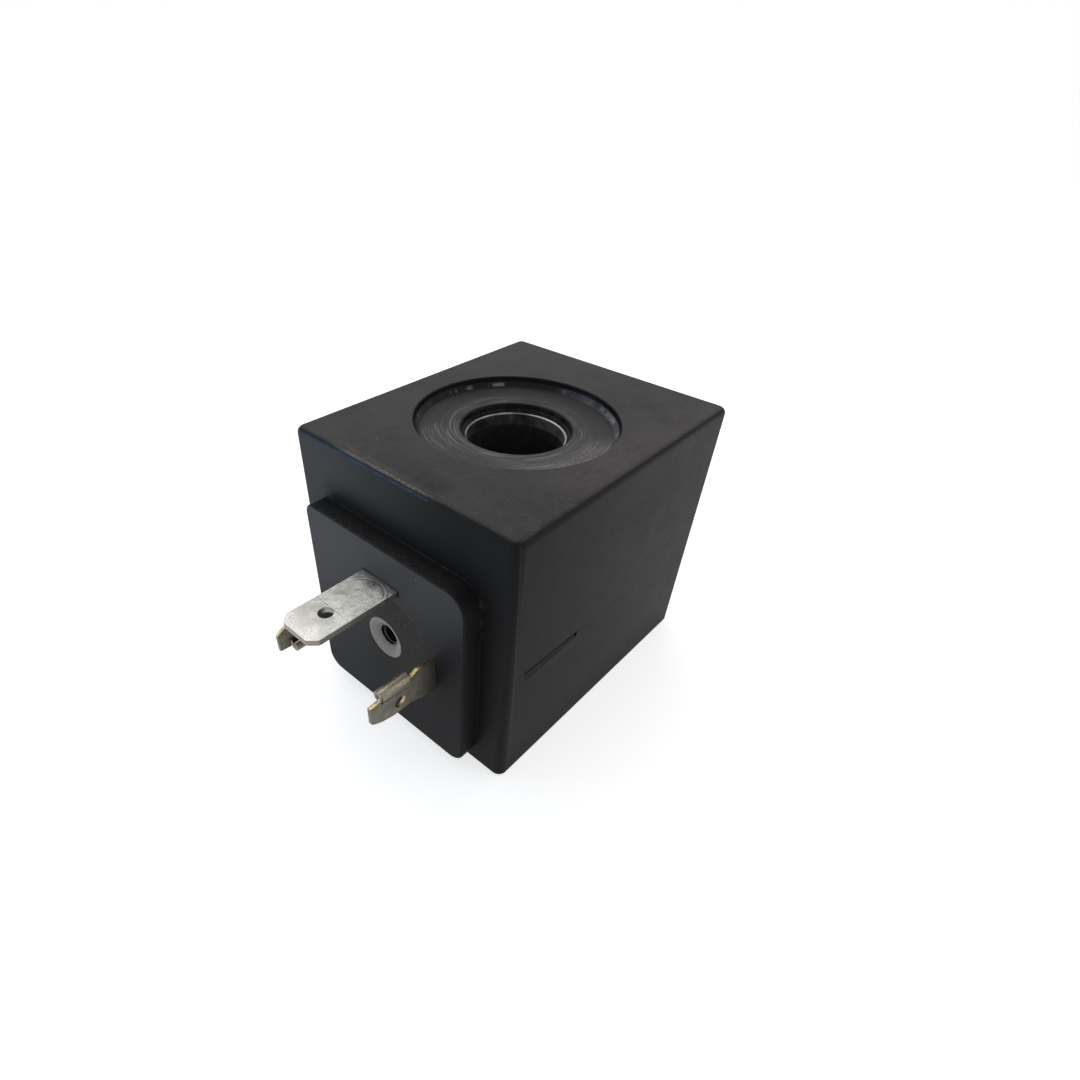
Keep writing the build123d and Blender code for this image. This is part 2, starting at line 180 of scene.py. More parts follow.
def specks(place, spacing, radius, share):
    """Small round specks, on this share of the cells of a Voronoi pattern."""
    cells = add_node("TexVoronoi", {"Vector": place, "Scale": 1 / spacing})
    chosen = calc("LESS_THAN", Field(add_node("SeparateColor", {0: Field(cells, "Color")})), share)
    return chosen * spread(Field(cells, "Distance"), 0.4 * radius / spacing, radius / spacing, 1.0, 0.0)


def mix(factor, first, second):
    return Field(add_node("Mix", {0: factor, 6: first, 7: second}, data_type="RGBA"), 2)


def coordinates(material):
    """The piece's own coordinates in millimetres, as a vector and as x, y and z."""
    own = Field(add_node("TexCoord", {}, material.node_tree), "Object")
    place = Field(add_node("VectorMath", {0: own, "Scale": 1 / mm}, operation="SCALE"))
    split = add_node("SeparateXYZ", {0: place})
    return place, *(Field(split, axis) for axis in range(3))


def facing(material):
    """The x, y and z of the surface's direction."""
    normal = Field(add_node("TexCoord", {}, material.node_tree), "Normal")
    split = add_node("SeparateXYZ", {0: normal})
    return [Field(split, axis) for axis in range(3)]


def radius_of(first, second, centre=(0.0, 0.0)):
    """The distance in millimetres from an axis."""
    a = first - centre[0]
    b = second - centre[1]
    return calc("SQRT", a * a + b * b)


def scratch(u, v, start_point, end_point, width):
    """A mask of one straight scratch between two points."""
    length = math.dist(start_point, end_point)
    way = [(b - a) / length for a, b in zip(start_point, end_point)]
    from_u = u - start_point[0]
    from_v = v - start_point[1]
    forward = from_u * way[0] + from_v * way[1]
    aside = from_v * way[0] - from_u * way[1]
    return band(aside, 0.0, width / 3, width) * band(forward, length / 2, length / 2 - 0.2, 0.3)


def new_material(name):
    material = bpy.data.materials.new(name)
    material.use_nodes = True
    material.node_tree.nodes.clear()
    return material


def new_finish(name):
    """A new material with the coordinates of its network."""
    material = new_material(name)
    return material, *coordinates(material)


def make_finish(material, colour, rough, metal=0.0, height=0.0, specular=0.5, coat=0.0):
    """Ends a network in one shader. The height of the bump is in millimetres."""
    bump = Field(add_node("Bump", {"Distance": mm, "Height": height}))
    inputs = {"Base Color": colour, "Roughness": rough, "Metallic": metal, "Normal": bump}
    inputs |= {"Specular IOR Level": specular, "Coat Weight": coat}
    add_node("OutputMaterial", {"Surface": Field(add_node("BsdfPrincipled", inputs))})
    return material

# %% [markdown]
# The floor and the world look white to the camera and to mirror-like surfaces, while their
# light on the object stays low. Light Path tells those rays apart from the rest.

# %% Floor and world
def seen_directly(tree):
    """1 for camera, glossy and transmission rays, 0 for the others."""
    path = add_node("LightPath", {}, tree)
    either = calc("MAXIMUM", Field(path, "Is Camera Ray"), Field(path, "Is Transmission Ray"))
    return calc("MAXIMUM", either, Field(path, "Is Glossy Ray"))


world = bpy.data.worlds.new("studio")
world.use_nodes = True
bpy.context.scene.world = world
tree = world.node_tree
tree.nodes.clear()
ambient = Field(add_node("Background", {"Color": (0.98, 0.99, 1.0), "Strength": 0.6}, tree))
backdrop = Field(add_node("Background", {"Color": (1, 1, 1), "Strength": 1.0}, tree))
choose = Field(add_node("MixShader", {0: seen_directly(tree), 1: ambient, 2: backdrop}))
add_node("OutputWorld", {"Surface": choose})

floor_material = new_material("pale_floor")
tree = floor_material.node_tree
paper = Field(add_node("BsdfDiffuse", {"Color": (0.6, 0.6, 0.6)}, tree))
glow = Field(add_node("Emission", {"Color": (1, 1, 1), "Strength": 0.65}, tree))
both = Field(add_node("AddShader", {0: paper, 1: glow}))
choose = Field(add_node("MixShader", {0: seen_directly(tree), 1: paper, 2: both}))
add_node("OutputMaterial", {"Surface": choose})
bpy.ops.object.select_all(action="DESELECT")
bpy.ops.mesh.primitive_plane_add(size=60.0, location=(0, 0, -0.0002))
floor = bpy.context.object
floor.name = "floor"
floor.data.materials.append(floor_material)
bpy.context.scene.view_settings.view_transform = "Standard"

# %% [markdown]
# The casing came out of a steel mould, so its edges are round and its faces flat. It starts
# as a cube, and the bevel tool rounds the upright edges first, then the two rims. The helper
# functions here pick edges and faces by their place, the way a hand would click on them.

# %% Helpers for modelling
def start(name, maker, **options):
    """Adds a primitive with nothing else selected."""
    bpy.ops.object.select_all(action="DESELECT")
    maker(**options)
    piece = bpy.context.object
    piece.name = name
    piece.data.name = name
    return piece


def select_only(piece):
    bpy.ops.object.select_all(action="DESELECT")
    piece.select_set(True)
    bpy.context.view_layer.objects.active = piece


def settle(piece):
    """Moves the piece's place and size into its mesh."""
    select_only(piece)
    bpy.ops.object.transform_apply(location=True, rotation=True, scale=True)


def add_block(name, low, high):
    """A cuboid from one corner to the other, in millimetres."""
    size = [(b - a) * mm for a, b in zip(low, high)]
    centre = [(a + b) / 2 * mm for a, b in zip(low, high)]
    piece = start(name, bpy.ops.mesh.primitive_cube_add, size=1, location=centre)
    piece.scale = size
    settle(piece)
    return piece


def add_rod(name, place, radius, depth, turn=(0, 0, 0), sides=48):
    """A cylinder round a place, in millimetres. Its axis is upright before the turn."""
    middle = place * mm if isinstance(place, Vector) else [v * mm for v in place]
    rod = start(name, bpy.ops.mesh.primitive_cylinder_add, vertices=sides, radius=radius * mm,
                depth=depth * mm, location=middle, rotation=turn)
    settle(rod)
    return rod


def pick(piece, kind, test):
    """In edit mode, selects the verts, edges or faces whose middle passes the test, in mm."""
    bpy.ops.mesh.select_mode(type=kind)
    bpy.ops.mesh.select_all(action="DESELECT")
    mesh = bmesh.from_edit_mesh(piece.data)
    group = {"VERT": mesh.verts, "EDGE": mesh.edges, "FACE": mesh.faces}[kind]
    count = 0
    for item in group:
        if kind == "VERT":
            middle = item.co / mm
        elif kind == "EDGE":
            middle = (item.verts[0].co + item.verts[1].co) / 2 / mm
        else:
            middle = item.calc_center_median() / mm
        if test(item, middle):
            item.select_set(True)
            count += 1
    mesh.select_flush_mode()
    bmesh.update_edit_mesh(piece.data)
    return count


def edit(piece):
    select_only(piece)
    bpy.ops.object.mode_set(mode="EDIT")


def leave_edit():
    bpy.ops.object.mode_set(mode="OBJECT")


def along(edge, axis):
    """True for an edge that runs along this axis."""
    way = edge.verts[1].co - edge.verts[0].co
    return abs(way[axis]) > 0.99 * way.length


def near(a, b, slack=0.01):
    return abs(a - b) < slack


def shift(x, y, z):
    """Moves what is picked, in millimetres."""
    bpy.ops.transform.translate(value=(x * mm, y * mm, z * mm))


def extrude(x, y, z):
    """Pulls new faces out of the picked edges, in millimetres."""
    bpy.ops.mesh.extrude_edges_move(TRANSFORM_OT_translate={"value": (x * mm, y * mm, z * mm)})


def close_seams():
    """Joins the points that meet and turns the faces outwards."""
    bpy.ops.mesh.select_all(action="SELECT")
    bpy.ops.mesh.remove_doubles(threshold=0.002 * mm)
    bpy.ops.mesh.normals_make_consistent(inside=False)
    leave_edit()


def cut(piece, tool, operation="DIFFERENCE"):
    """Applies a boolean with the tool, then removes the tool."""
    apply_modifier(piece, "BOOLEAN", object=tool, operation=operation, solver="EXACT")
    bpy.data.objects.remove(tool)


def apply_modifier(piece, kind, **options):
    """Adds a modifier with these settings and applies it."""
    select_only(piece)
    change = piece.modifiers.new("change", kind)
    for name, value in options.items():
        setattr(change, name, value)
    bpy.ops.object.modifier_apply(modifier=change.name)


def paint(piece, slot, test):
    """Gives the faces that pass the test, with their middle in mm, this material slot."""
    count = 0
    for face in piece.data.polygons:
        if test(face.normal, face.center / mm):
            face.material_index = slot
            count += 1
    return count


def break_edges(piece, width, angle=40):
    """Rounds every sharp edge a little, as tumbling or wear does."""
    apply_modifier(piece, "BEVEL", width=width * mm, segments=2, limit_method="ANGLE",
                   angle_limit=math.radians(angle))


def smooth(piece, angle=32):
    """Shades the rounds smooth and lets the large faces set the direction of their borders."""
    select_only(piece)
    bpy.ops.object.shade_smooth_by_angle(angle=math.radians(angle))
    apply_modifier(piece, "WEIGHTED_NORMAL", keep_sharp=True, weight=90)


# %% Casing block
quarter_turn = math.radians(90)
along_x = (0, quarter_turn, 0)
along_y = (quarter_turn, 0, 0)
case_low, case_high = [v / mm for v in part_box("moulded_casing")]
half_width = case_high.x
top_z = case_high.z
back_y = case_high.y
face_y = case_low.y
base_thickness = 2.9
front_y = face_y + base_thickness
upright_round = 1.25
rim_round = 0.95
bottom_round = 0.5

casing = add_block("moulded_casing_shell", (-half_width, front_y, 0), (half_width, back_y, top_z))
edit(casing)
pick(casing, "EDGE", lambda edge, m: along(edge, 2))
bpy.ops.mesh.bevel(offset=upright_round * mm, segments=7, affect="EDGES")
pick(casing, "EDGE", lambda edge, m: near(m.z, top_z) and not along(edge, 2))
bpy.ops.mesh.bevel(offset=rim_round * mm, segments=6, affect="EDGES")
pick(casing, "EDGE", lambda edge, m: near(m.z, 0) and not along(edge, 2))
bpy.ops.mesh.bevel(offset=bottom_round * mm, segments=4, affect="EDGES")
leave_edit()
print("casing block:", len(casing.data.vertices), "points")

# %% [markdown]
# The plug base is a rounded square that stands 2.9 mm out of the front. At its foot the mould
# left a fine raised line. Both are rounded blocks of slightly different size, and a boolean
# union melts them into the casing.

# %% Plug base
base_half_width = 14.15
base_bottom = 1.85
base_top = 31.35
base_edge = 0.3
screw_z = (base_bottom + base_top) / 2
corner_rounds = {(-1, 1): 1.4, (1, 1): 2.9, (-1, -1): 2.5, (1, -1): 2.4}
base_root_y = front_y + 1.0
foot_line = 0.12

for name, grow, out_y, edge_round in (
    ("foot_line", foot_line, front_y - foot_line, foot_line / 3),
    ("plug_base", 0.0, face_y, base_edge),
):
    block = add_block(
        name,
        (-base_half_width - grow, out_y, base_bottom - grow),
        (base_half_width + grow, base_root_y, base_top + grow),
    )
    edit(block)
    for (side, level), corner in corner_rounds.items():
        pick(block, "EDGE", lambda edge, m: (
            along(edge, 1) and m.x * side > 0 and (m.z - screw_z) * level > 0))
        bpy.ops.mesh.bevel(offset=(corner + grow) * mm, segments=10, affect="EDGES")
    pick(block, "EDGE", lambda edge, m: near(m.y, out_y) and not along(edge, 1))
    bpy.ops.mesh.bevel(offset=edge_round * mm, segments=3, affect="EDGES")
    leave_edit()
    cut(casing, block, "UNION")
print("casing with plug base:", len(casing.data.vertices), "points")

# %% [markdown]
# The recess and the throat are turned shapes. A circle is extruded ring by ring, each ring
# scaled and moved, as on a lathe. The finished plug of air is then cut out of the block. Its
# lower part is wider than the bore, because there the bobbin makes the wall.

# %% Helper for turned shapes
def turned(name, rings, around=160):
    """A closed turned solid about the Z axis from (radius, z) rings in mm, first to last."""
    radius, height = rings[0]
    piece = start(name, bpy.ops.mesh.primitive_circle_add, vertices=around,
                  radius=radius * mm, location=(0, 0, height * mm), fill_type="NOTHING")
    settle(piece)
    edit(piece)
    bpy.ops.mesh.select_all(action="SELECT")
    bpy.ops.mesh.edge_face_add()
    bpy.ops.mesh.select_all(action="DESELECT")
    pick(piece, "EDGE", lambda edge, m: near(m.z, height))
    for next_radius, next_height in rings[1:]:
        extrude(0, 0, next_height - height)
        grow = next_radius / radius
        bpy.ops.transform.resize(value=(grow, grow, 1), center_override=(0, 0, next_height * mm))
        radius, height = next_radius, next_height
    bpy.ops.mesh.edge_face_add()
    bpy.ops.mesh.select_all(action="SELECT")
    bpy.ops.mesh.normals_make_consistent(inside=False)
    leave_edit()
    return piece


def quarter(radius, height, size, first, last, steps=5):
    """Ring points of a round: its centre in mm and the angles in degrees it runs between."""
    points = []
    for step in range(steps + 1):
        angle = math.radians(first + (last - first) * step / steps)
        points.append((radius + size * math.cos(angle), height + size * math.sin(angle)))
    return points


# %% Recess, throat and bore
recess_radius = 13.6
recess_depth = 1.4
floor_radius = 12.9
recess_floor_z = top_z - recess_depth
recess_wall_z = top_z - 0.7
lip_radius = 7.3
ledge_radius = 7.18
ledge_z = top_z - 2.12
steel_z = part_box("yoke_frame")[1].z / mm
slope_end_radius = 6.78
hollow_radius = 9.0
bottom_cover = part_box("yoke_frame")[0].z / mm
bore_radius = 6.6
rings = [(recess_radius + 0.45, top_z + 0.3)]
rings += quarter(recess_radius + 0.25, top_z - 0.25, 0.25, 90, 180)
rings += [(recess_radius - 0.1, recess_wall_z + 0.04), (recess_radius - 0.14, recess_wall_z - 0.03)]
rings += [(floor_radius + 0.06, recess_floor_z + 0.06), (floor_radius - 0.08, recess_floor_z)]
rings += [(10.4, recess_floor_z), (lip_radius + 0.75, recess_floor_z)]
rings += quarter(lip_radius + 0.45, recess_floor_z - 0.45, 0.45, 90, 180)
rings += [(ledge_radius + 0.04, ledge_z + 0.05), (ledge_radius - 0.06, ledge_z)]
rings += [(slope_end_radius + 0.1, steel_z + 0.06), (slope_end_radius, steel_z)]
rings += [(hollow_radius, steel_z), (hollow_radius, bottom_cover)]
rings += [(bore_radius, bottom_cover), (bore_radius, 0.35)]
rings += quarter(bore_radius + 0.35, 0.35, 0.35, 180, 270, 4)
rings += [(bore_radius + 0.6, -0.3)]
cut(casing, turned("air_in_the_bore", rings))
print("casing with recess:", len(casing.data.vertices), "points")

# %% [markdown]
# The screw boss, the earth blade and the contacts come through the face of the base. Each
# gets its own opening, a hair wider than the metal, so that a dark line shows round it.

# %% Openings in the face of the base
boss_radius = 3.14
slot_depth = 1.2
boss_hole_depth = 4.0
boss_hole = (0, face_y + 1.0, screw_z)
cut(casing, add_rod("boss_hole", boss_hole, boss_radius, boss_hole_depth, along_y, 96))

earth_low, earth_high = [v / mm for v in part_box("earth_blade")]
earth_thickness = 0.8
earth_bottom = earth_low.z
earth_top = earth_bottom + earth_thickness
slot = add_block(
    "earth_slot",
    (earth_low.x - 0.08, face_y - 1.0, earth_bottom - 0.05),
    (earth_high.x + 0.22, face_y + slot_depth, earth_top + 0.26),
)
cut(casing, slot)

contact_x = 9.15
sheet = 0.5
turn_z = screw_z + 0.4
root_bottom = screw_z - 2.65
root_top = screw_z + 2.25
for x, low, high in ((contact_x, root_bottom, root_top),
                     (-contact_x, 2 * turn_z - root_top, 2 * turn_z - root_bottom)):
    slot = add_block(
        "contact_slot",
        (x - sheet / 2 - 0.07, face_y - 1.0, low - 0.06),
        (x + sheet / 2 + 0.07, face_y + slot_depth, high + 0.06),
    )
    cut(casing, slot)
print("casing with openings:", len(casing.data.vertices), "points")

# %% [markdown]
# On the right face the runner of plastic was broken off and left a scar: a shallow wedge with
# a sharp upper edge and a torn floor that rises to the lower edge and to its far end. The
# cutter is a block whose corners are moved into that wedge. Its inner face is subdivided with
# some randomness.

# %% Sprue scar
scar_front_y = -18.9
scar_back_y = -7.7
scar_top_front = 18.87
scar_top_back = 18.32
scar_low_front = 17.25
scar_low_back = 17.35
scar_low_depth = 0.03
blunt_far_end = 0.35
blunt_near_end = 0.3
scar_depth = 0.55
scar_end_depth = 0.40
scar = add_block(
    "scar_cutter",
    (half_width - scar_depth, scar_front_y, scar_low_front),
    (half_width + 0.5, scar_back_y, scar_top_front),
)
edit(scar)
pick(scar, "VERT", lambda vert, m: near(m.y, scar_back_y) and near(m.z, scar_top_front))
shift(0, 0, scar_top_back - scar_top_front)
pick(scar, "VERT", lambda vert, m: near(m.y, scar_back_y) and near(m.z, scar_low_front))
shift(0, -blunt_far_end, scar_low_back - scar_low_front)
pick(scar, "VERT", lambda vert, m: near(m.y, scar_front_y) and near(m.z, scar_low_front))
shift(0, blunt_near_end, 0)
pick(scar, "VERT", lambda vert, m: (
    near(m.y, scar_back_y) and near(m.z, scar_top_back) and m.x < half_width))
shift(scar_depth - scar_end_depth, 0, 0)
pick(scar, "VERT", lambda vert, m: m.z < scar_low_front + 0.2 and m.x < half_width)
shift(scar_depth - scar_low_depth, 0, 0)
pick(scar, "FACE", lambda face, m: face.normal.x < -0.5)
bpy.ops.mesh.subdivide(number_cuts=14, fractal=0.03, fractal_along_normal=1.0, seed=4)
leave_edit()
cut(casing, scar)
smooth(casing)


def is_in_recess_shade(normal, m):
    """The wall of the recess with its sloped foot, and the throat, which get a darker plastic as
    painted shade.
    """
    from_axis = math.hypot(m.x, m.y)
    on_wall = (recess_floor_z + 0.01 < m.z < top_z - 0.2
               and floor_radius - 0.1 < from_axis < recess_radius + 0.3)
    in_throat = steel_z < m.z < recess_floor_z - 0.12 and from_axis < lip_radius + 0.4
    return on_wall or in_throat


print("sheltered faces:", paint(casing, 1, is_in_recess_shade), "of", len(casing.data.polygons))
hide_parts("moulded_casing")
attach(casing, "root")
print("casing finished:", len(casing.data.polygons), "faces")

# %% [markdown]
# The earth blade is a strip of tinned steel, 6.3 by 0.8 mm. Inside the casing it turns up
# against the steel frame, where a rivet holds it. The flat part starts as a block, its far
# end is spun a quarter turn and then extruded. The tip gets its cut corners and a bevel.

# %% Earth blade
bend_inside = 0.8
bend_y = earth_high.y - earth_thickness - bend_inside
tip_y = earth_low.y
tip_cut = 1.05
tip_bevel = 0.2
tip_corner = 0.22
earth_hole_radius = 0.95
rivet_hole_radius = 1.2
hole_depth = 3.0
earth_hole_y = tip_y + 4.4
rivet_z = earth_top + 3.7

blade_start = (earth_low.x, tip_y, earth_bottom)
blade = add_block("earth_blade_bent", blade_start, (earth_high.x, bend_y, earth_top))
edit(blade)
pick(blade, "FACE", lambda face, m: near(m.y, bend_y))
bpy.ops.mesh.delete(type="ONLY_FACE")
pick(blade, "EDGE", lambda edge, m: near(m.y, bend_y) and not along(edge, 1))
bpy.ops.mesh.spin(steps=8, angle=quarter_turn, axis=(-1, 0, 0),
                  center=(0, bend_y * mm, (earth_top + bend_inside) * mm))
bpy.ops.mesh.edge_face_add()
pick(blade, "FACE", lambda face, m: abs(face.normal.z) > 0.9 and m.y > bend_y + bend_inside)
straight = earth_high.z - earth_top - bend_inside
bpy.ops.mesh.extrude_context_move(TRANSFORM_OT_translate={"value": (0, 0, straight * mm)})
pick(blade, "EDGE", lambda edge, m: along(edge, 2) and near(m.y, tip_y))
bpy.ops.mesh.bevel(offset=tip_cut * mm, segments=1, affect="EDGES")
pick(blade, "EDGE", lambda edge, m: along(edge, 2) and m.y < tip_y + tip_cut + 0.01)
bpy.ops.mesh.bevel(offset=tip_corner * mm, segments=3, affect="EDGES")
pick(blade, "EDGE", lambda edge, m: along(edge, 0) and near(m.y, tip_y))
bpy.ops.mesh.bevel(offset=tip_bevel * mm, segments=1, affect="EDGES")
close_seams()
detent = (0, earth_hole_y, earth_bottom)
cut(blade, add_rod("detent_hole", detent, earth_hole_radius, hole_depth, sides=64))
rivet = (0, earth_high.y, rivet_z)
cut(blade, add_rod("rivet_hole", rivet, rivet_hole_radius, hole_depth, along_y))
break_edges(blade, 0.05)
smooth(blade, 28)
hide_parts("earth_blade")
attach(blade, "root")
blade_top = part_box("earth_blade")[1].z / mm
print("earth blade:", len(blade.data.polygons), "faces, up to", round(blade_top, 2), "mm")

# %% [markdown]
# Each power contact is one stamping of 0.5 mm brass sheet. It has a flared root, a long blade
# with a small detent hole, a tapered tip, and a hem rolled inwards along its upper edge, which
# makes it stiff. It is drawn as a flat strip, quad by quad, the hem is spun, and Solidify then
# gives the sheet its thickness. A short rod closes the roll, as the innermost turn does.

# %% Power contact on the right
hem_low = screw_z + 1.35
hem_middle_z = screw_z + 2.2
hem_middle_x = contact_x - 0.49
hem_radius = 0.6
hem_start_reach = 4.2
hem_end_reach = 8.5
tip_start_reach = 8.75
contact_back_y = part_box("power_contact_right")[1].y / mm
tail_width = 1.4
tail_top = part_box("power_contact_right")[1].z / mm
notch_depth = 1.0
tip_top = screw_z + 2.25
tip_front_top = screw_z + 2.1
tip_reach = 10.4

# reach from the face of the base, lowest and highest point of the strip there
strip = [
    (tail_width - contact_back_y + face_y, root_bottom, root_top),
    (0.0, root_bottom, root_top),
    (1.1, root_bottom + 0.05, screw_z + 2.75),
    (2.5, root_bottom + 0.2, screw_z + 3.0),
    (2.9, screw_z - 2.25, screw_z + 2.98),
    (hem_start_reach - 0.05, screw_z - 1.8, screw_z + 2.35),
    (hem_start_reach, screw_z - 1.79, hem_low),
    (7.0, screw_z - 1.78, hem_low),
    (hem_end_reach, screw_z - 1.46, hem_low),
    (tip_start_reach, screw_z - 1.4, hem_low),
    (9.9, screw_z - 0.88, hem_low),
    (tip_reach, screw_z - 0.5, hem_low),
]
contact = start("power_contact_sheet", bpy.ops.mesh.primitive_plane_add, size=1,
                rotation=(0, quarter_turn, 0))
contact.scale = ((root_top - root_bottom) * mm, tail_width * mm, 1)
tail_middle = (contact_x, contact_back_y - tail_width / 2, (root_top + root_bottom) / 2)
contact.location = [v * mm for v in tail_middle]
settle(contact)
edit(contact)
pick(contact, "EDGE", lambda edge, m: near(m.y, contact_back_y - tail_width))
reach, bottom, top = strip[0]
for next_reach, next_bottom, next_top in strip[1:]:
    extrude(0, reach - next_reach, 0)
    ratio = (next_top - next_bottom) / (top - bottom)
    middle = (0, 0, (top + bottom) / 2 * mm)
    bpy.ops.transform.resize(value=(1, 1, ratio), center_override=middle)
    shift(0, 0, (next_top + next_bottom - top - bottom) / 2)
    reach, bottom, top = next_reach, next_bottom, next_top
print("contact strip:", len(bmesh.from_edit_mesh(contact.data).faces), "quads")

# %% Tip, tail and hem of the contact
tip_rise = 0.6


def is_tip_edge(edge, m):
    return near(m.z, hem_low) and m.y < face_y - tip_start_reach and along(edge, 1)


pick(contact, "EDGE", is_tip_edge)
extrude(0, 0, tip_rise)
for reach, bottom, top in strip[-3:]:
    share = (reach - tip_start_reach) / (tip_reach - tip_start_reach)
    wanted = tip_top + share * (tip_front_top - tip_top)
    pick(contact, "VERT", lambda vert, m: near(m.y, face_y - reach) and near(m.z, top + tip_rise))
    shift(0, 0, wanted - top - tip_rise)

pick(contact, "EDGE", lambda edge, m: near(m.z, root_top) and m.y > contact_back_y - tail_width)
extrude(0, 0, tail_top - root_top)

pick(contact, "EDGE", lambda edge, m: near(m.z, hem_low) and along(edge, 1)
     and face_y - hem_end_reach < m.y < face_y - hem_start_reach)
roll_x = hem_middle_x + hem_radius * math.cos(math.radians(45))
roll_z = hem_middle_z - hem_radius * math.sin(math.radians(45))
extrude(roll_x - contact_x, 0, roll_z - hem_low)
bpy.ops.mesh.spin(steps=22, angle=math.radians(295), axis=(0, 1, 0),
                  center=(hem_middle_x * mm, 0, hem_middle_z * mm))
close_seams()
print("contact sheet:", len(contact.data.polygons), "faces")

# %% Thickness, holes and finish of the contacts
hole_reach = 5.87
hole_z = screw_z - 0.24
wire_dia = 0.5


def copy_of(piece, name):
    select_only(piece)
    bpy.ops.object.duplicate(linked=False)
    twin = bpy.context.object
    twin.name = name
    twin.data.name = name
    return twin


def is_cut_edge(normal, m):
    """The raw upper and lower edges of the sheet and its hole, but not the hem or the tip's end."""
    hem_end = face_y - hem_end_reach
    on_hem = m.z > hem_low + 0.2 and hem_end - 0.1 < m.y < face_y - hem_start_reach + 0.1
    in_hole = math.hypot(m.y - (face_y - hole_reach), m.z - hole_z) < 0.9
    return (abs(normal.z) > 0.6 or in_hole and abs(normal.x) < 0.5) and not on_hem


apply_modifier(contact, "SOLIDIFY", thickness=sheet * mm, offset=0, use_even_offset=True)
hem_length = hem_end_reach - hem_start_reach
core_radius = hem_radius - sheet / 2 + 0.02
core_middle = (hem_middle_x, face_y - hem_start_reach - hem_length / 2, hem_middle_z)
core = add_rod("rolled_core", core_middle, core_radius, hem_length - 0.12, along_y, 32)
cut(contact, core, "UNION")
contact_hole_radius = 0.85
detent = (contact_x, face_y - hole_reach, hole_z)
cut(contact, add_rod("detent_hole", detent, contact_hole_radius, 1.2, along_x))
tail_y = contact_back_y - tail_width / 2
notch = add_block(
    "wire_notch",
    (contact_x - sheet, tail_y - wire_dia / 2, tail_top - notch_depth),
    (contact_x + sheet, tail_y + wire_dia / 2, tail_top + 0.5),
)
cut(contact, notch)
break_edges(contact, 0.05)
print("raw edges:", paint(contact, 1, is_cut_edge), "of", len(contact.data.polygons), "faces")
smooth(contact, 28)

left_contact = copy_of(contact, "power_contact_sheet_left")
edit(left_contact)
bpy.ops.mesh.select_all(action="SELECT")
bpy.ops.transform.rotate(value=math.pi, orient_axis="Y", center_override=(0, 0, turn_z * mm))
leave_edit()
contact.name = "power_contact_sheet_right"
for piece, node in ((contact, "power_contact_right"), (left_contact, "power_contact_left")):
    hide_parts(node)
    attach(piece, "root")
    node_low, node_high = [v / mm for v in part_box(node)]
    low = [min(v.co[axis] for v in piece.data.vertices) / mm for axis in range(3)]
    high = [max(v.co[axis] for v in piece.data.vertices) / mm for axis in range(3)]
    model = [*node_low, *node_high]
    print(node, "is off the model by", [round(a - b, 2) for a, b in zip(low + high, model)])

# %% [markdown]
# The screw of the plug goes into a hexagonal brass bush that is moulded into the pale carrier.
# Its thread is a ridge of 60 degrees. A triangle is turned along a helix by the Screw modifier,
# and the ridge is then joined to the wall of the drilled bush.

# %% Threaded bush
bush_low, bush_high = [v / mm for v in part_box("screw_insert")]
thread_pitch = 0.5
thread_minor = 1.25
thread_major = 1.5
bush_radius = (bush_high.x - bush_low.x) / 2
bush_length = bush_high.y - bush_low.y
bush_middle = (bush_low + bush_high) / 2
turned_up = (quarter_turn, math.radians(30), 0)
bush = add_rod("threaded_bush", bush_middle, bush_radius, bush_length, turned_up, 6)
cut(bush, add_rod("drilled_hole", bush_middle, thread_major, 2 * bush_length, along_y, 64))
break_edges(bush, 0.12, 50)

ridge_size = (thread_major - thread_minor + 0.03) / 1.5
turns = int(bush_length / thread_pitch) - 1
ridge = start("thread_ridge", bpy.ops.mesh.primitive_circle_add, vertices=3, radius=ridge_size * mm,
              location=((thread_minor + ridge_size) * mm, 0, 0), rotation=(0, 0, quarter_turn))
settle(ridge)
apply_modifier(ridge, "SCREW", axis="Y", angle=2 * math.pi, screw_offset=thread_pitch * mm,
               iterations=turns, steps=32, render_steps=32, use_merge_vertices=False)
edit(ridge)
bpy.ops.mesh.select_all(action="SELECT")
bpy.ops.mesh.fill_holes(sides=3)
bpy.ops.mesh.select_all(action="SELECT")
bpy.ops.mesh.normals_make_consistent(inside=False)
ridge_start = bush_low.y + (bush_length - turns * thread_pitch) / 2
shift(0, ridge_start, screw_z)
leave_edit()
ridge_low = min(v.co.y for v in ridge.data.vertices) / mm
ridge_high = max(v.co.y for v in ridge.data.vertices) / mm
print("thread from", round(ridge_low, 2), "to", round(ridge_high, 2))
cut(bush, ridge, "UNION")
smooth(bush, 25)
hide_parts("screw_insert")
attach(bush, "root")
print("threaded bush:", len(bush.data.polygons), "faces")
